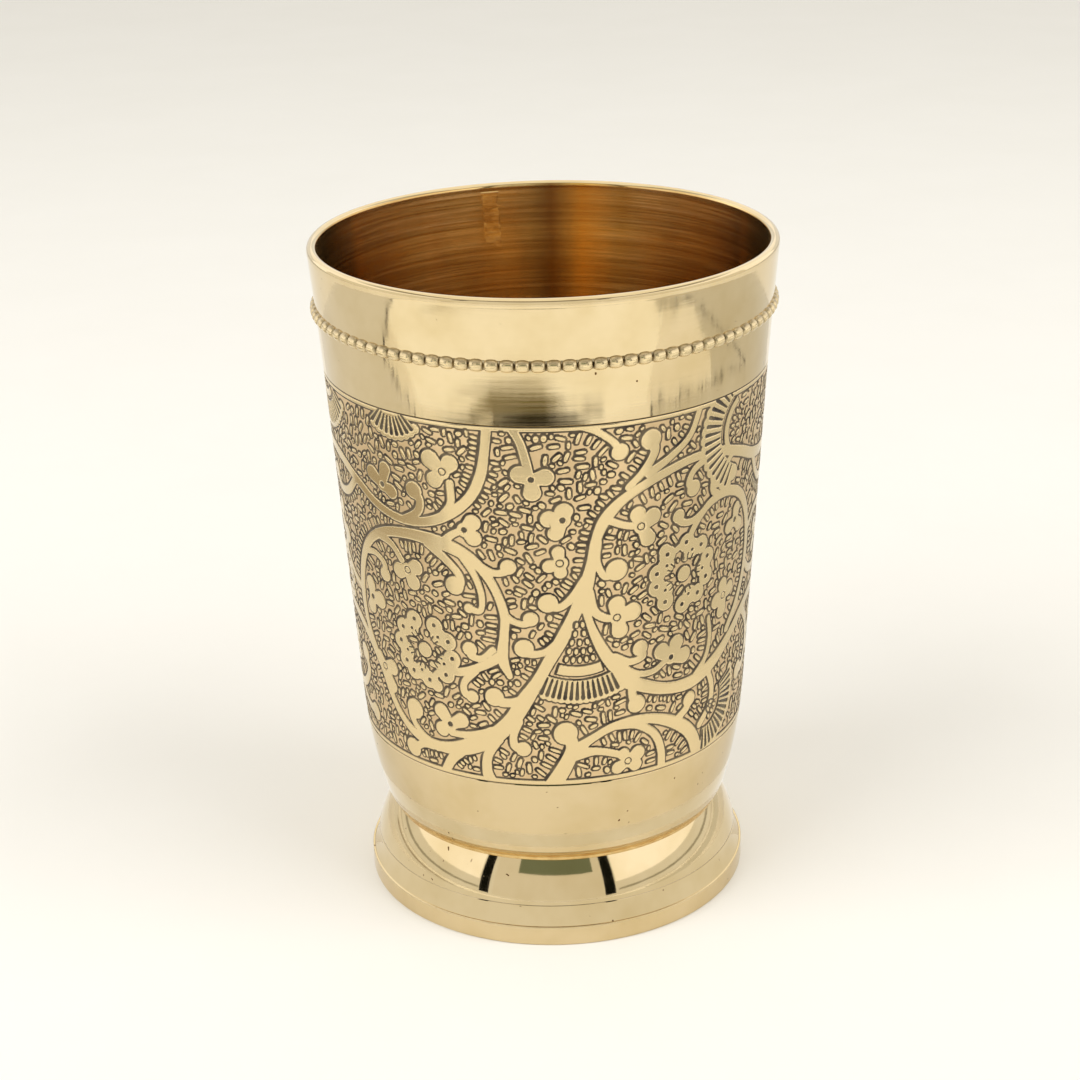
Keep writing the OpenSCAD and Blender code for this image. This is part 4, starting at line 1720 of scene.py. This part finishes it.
@dataclass
class BeadHoop:
    """The hoop of beaded wire and the solder that holds it."""

    beads: int = 100
    steps: int = 12
    sides: int = 18
    crease: float = 0.42
    squareness: float = 2.5
    wire: Finish = BeadedBrass()
    solder: Finish = SoftSolder()

    def tree(self) -> NodeTree:
        """Tree that makes a wire whose radius swells into barrel-shaped beads.

        Returns:
            The geometry tree.
        """
        tree = Tree("beaded_wire", {"Hoop radius": "Float", "Bead radius": "Float", "Height": "Float",
                                    "Beads": "Int", "Steps": "Int", "Sides": "Int", "Crease": "Float",
                                    "Squareness": "Float", "Finish": "Material"})
        size = tree.entry
        hoop = tree.node("GeometryNodeCurvePrimitiveCircle",
                         links={"Resolution": tree.math("MULTIPLY", size["Beads"], size["Steps"]),
                                "Radius": size["Hoop radius"]}).outputs["Curve"]
        index = tree.node("GeometryNodeInputIndex").outputs["Index"]
        share = tree.math("FRACT", tree.math("DIVIDE", index, size["Steps"]))
        off = tree.math("ABSOLUTE", tree.math("MULTIPLY_ADD", share, 2.0, -1.0))
        drop = tree.math("POWER", off, size["Squareness"])
        barrel = tree.math("SQRT", tree.math("MAXIMUM", tree.math("SUBTRACT", 1.0, drop), 0.0))
        swell = tree.math("ADD", size["Crease"],
                          tree.math("MULTIPLY", tree.math("SUBTRACT", 1.0, size["Crease"]), barrel))
        radius = tree.math("MULTIPLY", swell, size["Bead radius"])
        hoop = tree.node("GeometryNodeStoreNamedAttribute", {"data_type": "FLOAT", "Name": "residue"},
                         {"Geometry": hoop, "Value": tree.math("POWER", off, 3.6)}).outputs["Geometry"]
        section = tree.node("GeometryNodeCurvePrimitiveCircle", {"Radius": 1.0},
                            {"Resolution": size["Sides"]}).outputs["Curve"]
        wire = tree.node("GeometryNodeCurveToMesh",
                         links={"Curve": hoop, "Profile Curve": section, "Scale": radius}).outputs["Mesh"]
        lift = tree.node("ShaderNodeCombineXYZ", links={2: size["Height"]}).outputs["Vector"]
        lifted = tree.node("GeometryNodeSetPosition", links={"Geometry": wire, "Offset": lift})
        return tree.finish(lifted.outputs["Geometry"], (size["Finish"], None))

    def build(self) -> Iterator[Object]:
        """Build the wire, then dress the solder."""
        low, high = box_mm("bead_ring")
        bead_r = (high[2] - low[2]) / 2
        seed = new_object("bead_hoop", np.zeros((1, 3)))
        grow(seed, self.tree(), {"Hoop radius": (high[0] - bead_r) * MM, "Bead radius": bead_r * MM,
                                 "Height": (high[2] + low[2]) / 2 * MM, "Beads": self.beads,
                                 "Steps": self.steps, "Sides": self.sides, "Crease": self.crease,
                                 "Squareness": self.squareness, "Finish": self.wire.material()}, crease=75)
        yield settle(seed, "brass_polished", "bead_ring")
        yield dress_node("bead_solder", self.solder)


@dataclass
class Foot:
    """The cast bell-shaped foot and the braze that joins it to the cup."""

    band_h: float = 4.0
    step_in: float = 0.35
    edge: float = 0.4
    cove_z: float = 7.8
    cove_inset: float = 1.55
    neck_inset: float = 5.1
    bell_round: float = 0.45
    cove_round: float = 0.55
    cast_t: float = 1.9
    hole_r: float = 22.0
    seat_w: float = 1.6
    film_hole_r: float = 27.5
    fillet: tuple[tuple[float, float], ...] = ((0.08, -0.2), (0.16, 0.0), (0.22, 0.3), (0.32, 0.6),
                                               (0.5, 0.95), (0.72, 1.22))
    polished: Finish = TurnedBrass()
    cast: Finish = CastBrass()
    brazed: Finish = FiledBraze()

    def build(self) -> Iterator[Object]:
        """Turn the foot, then dress the braze."""
        _, high = box_mm("foot")
        base_r, top_z = high[0], high[2]
        cove_r = base_r - self.cove_inset
        neck_r = base_r - self.neck_inset

        def side(z: float) -> float:
            """Outer radius above the base band: a cove below, a bell above."""
            if z > self.cove_z:
                u = (z - self.cove_z) / (top_z - self.cove_z)
                return cove_r - (cove_r - neck_r) * ((1 - self.bell_round) * u + self.bell_round * u * u)
            u = (self.cove_z - z) / (self.cove_z - self.band_h)
            spare = base_r - self.step_in - cove_r
            return cove_r + spare * ((1 - self.cove_round) * u + self.cove_round * u * u)

        shape = Outline()
        shape.add([(base_r - self.edge - self.seat_w, 0.0), (base_r - self.edge - 0.1, 0.0)], inside=1.0)
        shape.add(arc(base_r - self.edge, self.edge, self.edge, -80, 0, 6))
        shape.add([(base_r, z) for z in between(self.edge + 0.3, self.band_h - self.edge, 0.5)])
        shape.add(arc(base_r - 0.2, self.band_h - 0.2, 0.2, 0, 75, 4))
        shape.add([(side(z), z) for z in between(self.band_h, self.cove_z - 0.12, 0.25)])
        shape.add([(side(self.cove_z) - 0.06, self.cove_z)], residue=0.5)
        shape.add([(side(z), z) for z in between(self.cove_z + 0.12, top_z, 0.25)])
        shape.add([(self.hole_r, top_z), (self.hole_r, top_z - self.cast_t)], inside=1.0)
        shape.add([(side(z) - self.cast_t, z) for z in between(top_z - self.cast_t, self.band_h, 0.5)],
                  inside=1.0)
        yield settle(shape.turn("foot_shell", self.polished, self.cast, 360), "brass_cast", "foot")
        yield self.joint(neck_r)

    def joint(self, neck_r: float) -> Object:
        """Make the braze under the cup, drawn out to a small hollow fillet between foot and heel.

        Args:
            neck_r: radius of the foot's neck.

        Returns:
            The joint's film and fillet as one piece.
        """
        low, high = box_mm("foot_braze")
        shape = Outline()
        shape.add([(self.film_hole_r, low[2]), (neck_r - 0.1, low[2])])
        for out, up in self.fillet:
            shape.add([(neck_r + out, low[2] + up)])
        shape.add([(neck_r + 0.4, high[2] + 1.1), (neck_r - 1.5, high[2] + 0.1),
                   (self.film_hole_r, high[2])])
        ring = shape.turn("joint_fillet", self.brazed, self.brazed, 240)
        return settle(ring, "brazing_metal", "foot_braze")


# ---- studio


@dataclass
class Studio:
    """A pale floor inside a white tent, with the camera looking down on the tumbler."""

    distance: float = 0.420
    height: float = 0.2388
    pitch: float = 22.06
    roll: float = -1.35
    lens: float = 77.17
    shift: float = -0.0093
    floor_half: float = 4.0
    edge_turn: float = 1.3
    edge_w: float = 0.0016
    edge_z: float = 0.0022
    floor_gap: float = 0.001
    card_gap: float = 0.00004
    laid: int = 0
    paper: Finish = SheetPaper()

    def camera(self) -> None:
        """Place the camera in front of the tumbler."""
        data = bpy.data.cameras.new("camera")
        data.lens = self.lens
        data.sensor_width = 36.0
        data.shift_x = self.shift
        made = bpy.data.objects.new("camera", data)
        bpy.context.scene.collection.objects.link(made)
        tilt = Matrix.Rotation(math.radians(90 - self.pitch), 4, "X")
        lean = Matrix.Rotation(math.radians(self.roll), 4, "Z")
        made.matrix_world = Matrix.Translation((0, -self.distance, self.height)) @ tilt @ lean
        bpy.context.scene.camera = made

    def card(self, name: str, points: list[tuple[float, float, float]], faces: np.ndarray, colour: str,
             glow: float = 1.0) -> None:
        """Stand a card where only the polished metal sees it.

        Args:
            name: the card's name.
            points: its corners in metres.
            faces: its faces.
            colour: its colour.
            glow: light that it gives off, to stand for a lit sheet.
        """
        made = new_object(name, np.array(points), [faces])
        material = bpy.data.materials.new(name)
        material.use_nodes = True
        tree = material.node_tree
        tree.nodes.clear()
        shade = add_node(tree, "ShaderNodeEmission", {"Color": linear(colour), "Strength": glow})
        add_node(tree, "ShaderNodeOutputMaterial", links={"Surface": shade.outputs["Emission"]})
        made.data.materials.append(material)
        for ray in ("camera", "diffuse", "shadow", "transmission"):
            setattr(made, f"visible_{ray}", False)

    def spot(self, direction: float, away: float, z: float) -> tuple[float, float, float]:
        """Place at a direction in degrees, 0 towards the camera, a distance and a height."""
        a = math.radians(direction)
        return away * math.sin(a), -away * math.cos(a), z

    def standing(self, name: str, directions: tuple[float, float], heights: tuple[float, float],
                 away: float, colour: str, glow: float = 1.0) -> None:
        """Stand a curved card round the tumbler.

        Args:
            name: the card's name.
            directions: its ends in degrees, 0 towards the camera and positive to the right.
            heights: its lower and upper edge, in metres.
            away: its distance from the axis.
            colour: its colour.
            glow: its brightness.
        """
        turns = between(*directions, 8.0)
        points = [self.spot(turn, away, z) for z in heights for turn in turns]
        self.card(name, points, quads(2, len(turns)), colour, glow)

    def lying(self, name: str, outline: list[tuple[float, float]], colour: str, glow: float = 1.0) -> None:
        """Lay a card on the floor round the tumbler.

        Cards that are laid later lie a little higher, so that they cover the earlier ones.

        Args:
            name: the card's name.
            outline: its corners as directions in degrees, 0 towards the camera and positive to
                the right, and distances from the axis in metres.
            colour: its colour.
            glow: its brightness.
        """
        self.laid += 1
        height = self.floor_gap + self.card_gap * self.laid
        points = []
        for (start, near), (end, far) in zip(outline, outline[1:] + outline[:1]):
            steps = max(1, round(abs(end - start) / 5))
            for i in range(steps):
                away = near + (far - near) * i / steps
                points.append(self.spot(start + (end - start) * i / steps, away, height))
        self.card(name, points, np.arange(len(points))[None, :], colour, glow)

    def arc_strip(self, start: float, end: float, away: float, width: float) -> list[tuple[float, float]]:
        """Outline of a curved strip on the floor that runs out to points at both ends.

        Args:
            start: direction of one end in degrees.
            end: direction of the other end.
            away: distance from the axis in metres.
            width: the strip's width at its middle.

        Returns:
            The outline's corners as directions and distances.
        """
        full = ((end - start) * 0.3 + start, (end - start) * 0.75 + start)
        near, far = away - width / 2, away + width / 2
        return [(start, away), (full[0], near), (full[1], near), (end, away), (full[1], far), (full[0], far)]

    def light(self, name: str, place: tuple[float, float, float], size: float, power: float) -> None:
        """Hang a soft light that faces the tumbler and leaves no mirror image of itself.

        Args:
            name: the light's name.
            place: where it hangs, in metres.
            size: length of its side.
            power: its power in watts.
        """
        data = bpy.data.lights.new(name, "AREA")
        data.size = size
        data.energy = power
        made = bpy.data.objects.new(name, data)
        bpy.context.scene.collection.objects.link(made)
        made.location = place
        made.rotation_euler = (-made.location).to_track_quat("-Z", "Y").to_euler()
        made.visible_glossy = False
        made.visible_camera = False

    def tent(self) -> None:
        """Wrap everything in a white tent that is dimmer overhead."""
        world = bpy.data.worlds.new("tent")
        world.use_nodes = True
        tree = world.node_tree
        tree.nodes.clear()
        place = add_node(tree, "ShaderNodeTexCoord")
        parts = add_node(tree, "ShaderNodeSeparateXYZ", links={0: place.outputs["Generated"]})
        ramp = add_node(tree, "ShaderNodeValToRGB", links={"Fac": parts.outputs["Z"]})
        stops = ((0.0, "fbf9f4"), (0.64, "fbf9f4"), (0.8, "a8a294"), (1.0, "8f887c"))
        for at, _ in stops[1:-1]:
            ramp.color_ramp.elements.new(at)
        for element, (at, colour) in zip(ramp.color_ramp.elements, stops):
            element.position = at
            element.color = linear(colour)
        glow = add_node(tree, "ShaderNodeBackground", {"Strength": 1.0}, {"Color": ramp.outputs["Color"]})
        add_node(tree, "ShaderNodeOutputWorld", links={"Surface": glow.outputs["Background"]})
        bpy.context.scene.world = world

    def floor_cards(self) -> None:
        """Lay out the sheets, the painted shadow of the camera in front with its olive edge, and the folds
        that the cup's wall mirrors.
        """
        self.lying("white_sheet_in_front",
                   [(-78, 0.31), (-64, 0.262), (-30, 0.245), (22, 0.245), (48, 0.258), (56, 0.30),
                    (44, 0.40), (-60, 0.40)], "fffdf6", 1.32)
        # painted shadow: a black card, with an olive card along its far edge, stands for the camera's shadow
        # on the floor in front
        self.lying("dark_cloth_in_front",
                   [(-31, 0.2445), (-22, 0.232), (8, 0.231), (21, 0.2455), (13, 0.2500),
                    (-6, 0.2512), (-25, 0.2500)], "0a0b0d")
        self.lying("olive_cloth_in_front",
                   [(-38, 0.2535), (-26, 0.251), (0, 0.251), (10, 0.254), (-2, 0.2585),
                    (-26, 0.2595)], "857a50")
        folds = ((-64, -26, 0.250, 0.004, "4e4832"), (-50, 6, 0.2615, 0.002, "8f8566"),
                 (-66, -24, 0.242, 0.005, "5c563c"), (15, 28, 0.2515, 0.003, "3d3a32"),
                 (-20, 15, 0.3175, 0.005, "4e4631"), (-38, 12, 0.3115, 0.005, "75694f"),
                 (-62, -8, 0.3065, 0.003, "85785f"), (2, 44, 0.3145, 0.003, "85785f"))
        for number, (start, end, away, width, colour) in enumerate(folds):
            self.lying(f"fold_{number}", self.arc_strip(start, end, away, width), colour)
        left = self.ragged([(-50, 0.12), (-55, 0.21), (-63, 0.25), (-84, 0.29), (-72, 0.33)], 3)
        self.lying("left_sheet", left + [(-110, 0.37), (-150, 0.36), (-150, 0.12), (-100, 0.12)], "f4f1ea")
        self.lying("tan_shade_left", [(-58, 0.19), (-66, 0.235), (-80, 0.252), (-118, 0.255), (-122, 0.20),
                                      (-90, 0.185)], "b3a792")
        self.edge("left_edge", left, -1.0)
        right = self.ragged([(49, 0.23), (52, 0.254), (84, 0.27), (116, 0.295), (70, 0.313), (54, 0.30)], 4)
        self.lying("right_sheet", [(44, 0.12)] + right + [(46, 0.32), (60, 0.37), (150, 0.37), (150, 0.12),
                                                          (100, 0.12)], "e6e3da")
        self.edge("right_edge", right, 1.0)

    def ragged(self, line: list[tuple[float, float]], seed: int) -> list[tuple[float, float]]:
        """Break a line on the floor into short jags, which the wall mirrors as torn edges.

        Args:
            line: corners as directions and distances.
            seed: start of the random numbers.

        Returns:
            The jagged line.
        """
        chance = np.random.default_rng(seed)
        jagged = []
        for (start, near), (end, far) in zip(line[:-1], line[1:]):
            steps = max(2, round(math.hypot(far - near, math.radians(end - start) * near) / 0.006))
            for i in range(steps):
                share = i / steps
                jagged.append((start + (end - start) * share + chance.normal(0, 1.2),
                               near + (far - near) * share + chance.normal(0, 0.0008)))
        return jagged + [line[-1]]

    def edge(self, name: str, line: list[tuple[float, float]], side: float) -> None:
        """Lay a thin and uneven dark strip along a line.

        Args:
            name: the strip's name.
            line: corners as directions and distances.
            side: 1 to lay it on the side where directions grow, -1 for the other side.
        """
        points = []
        for row in (0.0, 1.0):
            for i, (turn, away) in enumerate(line):
                thick = row * (0.25 + 0.75 * abs(math.sin(1.7 * i)))
                points.append(self.spot(turn + side * self.edge_turn * thick,
                                        away + self.edge_w * thick, self.edge_z))
        self.card(name, points, quads(2, len(line)), "2a251f")

    def upright_cards(self) -> None:
        """Stand the posts, the window and the panels that the foot's bell mirrors."""
        for name, directions, heights, away, colour, glow in (
                ("low_white_card", (-150, 150), (0.0, 0.0084), 0.045, "fbf8f0", 1.0),
                ("lip_shield", (-72, 62), (0.1283, 0.1335), 0.049, "fdf9f0", 1.0),
                ("dim_front", (-39, 27), (0.02, 0.6), 0.62, "f6f2e9", 1.0),
                ("green_grey_front", (-25, 22), (0.245, 0.5), 0.59, "7e8873", 1.0),
                ("dark_post_left", (-47.5, -41.5), (0.02, 0.75), 0.6, "131410", 1.0),
                ("dark_post_right", (27.5, 34), (0.02, 0.75), 0.6, "131410", 1.0),
                ("dark_skirting_left", (-150, -48), (0.045, 0.062), 0.64, "b4b2a6", 1.0),
                ("dark_skirting_right", (36, 150), (0.045, 0.062), 0.64, "b4b2a6", 1.0),
                ("bright_panel_left", (-140, -48.5), (0.14, 0.7), 0.7, "fffdfc", 1.45),
                ("bright_panel_right", (35, 140), (0.14, 0.7), 0.7, "fffdfc", 1.45),
                ("bright_panel_back", (140, 220), (0.36, 1.4), 0.9, "fffcf6", 1.3)):
            self.standing(name, directions, heights, away, colour, glow)
        corners = [(-0.8, -0.5, 1.4), (0.8, -0.5, 1.4), (0.8, 0.9, 1.4), (-0.8, 0.9, 1.4)]
        self.card("bright_panel_overhead", corners, np.arange(4)[None, :], "fffaf0", 1.25)

    def build(self) -> None:
        """Set up the camera, the floor, the lights and the cards."""
        self.camera()
        half = self.floor_half
        corners = np.array([(-half, -half, 0), (half, -half, 0), (half, half, 0), (-half, half, 0)])
        floor = new_object("floor", corners, [np.arange(4)[None, :]])
        floor.data.materials.append(self.paper.material())
        self.tent()
        self.light("soft_light_left", (-1.1, -0.7, 1.2), 1.2, 15.5)
        self.light("soft_light_right", (1.1, -0.6, 1.2), 1.2, 13)
        self.floor_cards()
        self.upright_cards()
        bpy.context.scene.view_settings.view_transform = "Standard"


def main() -> None:
    """Build the tumbler and its studio."""
    logging.basicConfig(level=logging.INFO, format="%(name)s: %(message)s")
    Studio().build()
    top_z = box_mm("cup_wall")[1][2]
    foot_z = box_mm("foot")[1][2]
    wall = Wall(top_z=top_z, foot_z=foot_z)
    for part in (Cup(wall), BeadHoop(), Foot()):
        for piece in part.build():
            LOG.info("%s: %d faces", piece.name, len(piece.data.polygons))


if __name__ == "__main__":
    main()
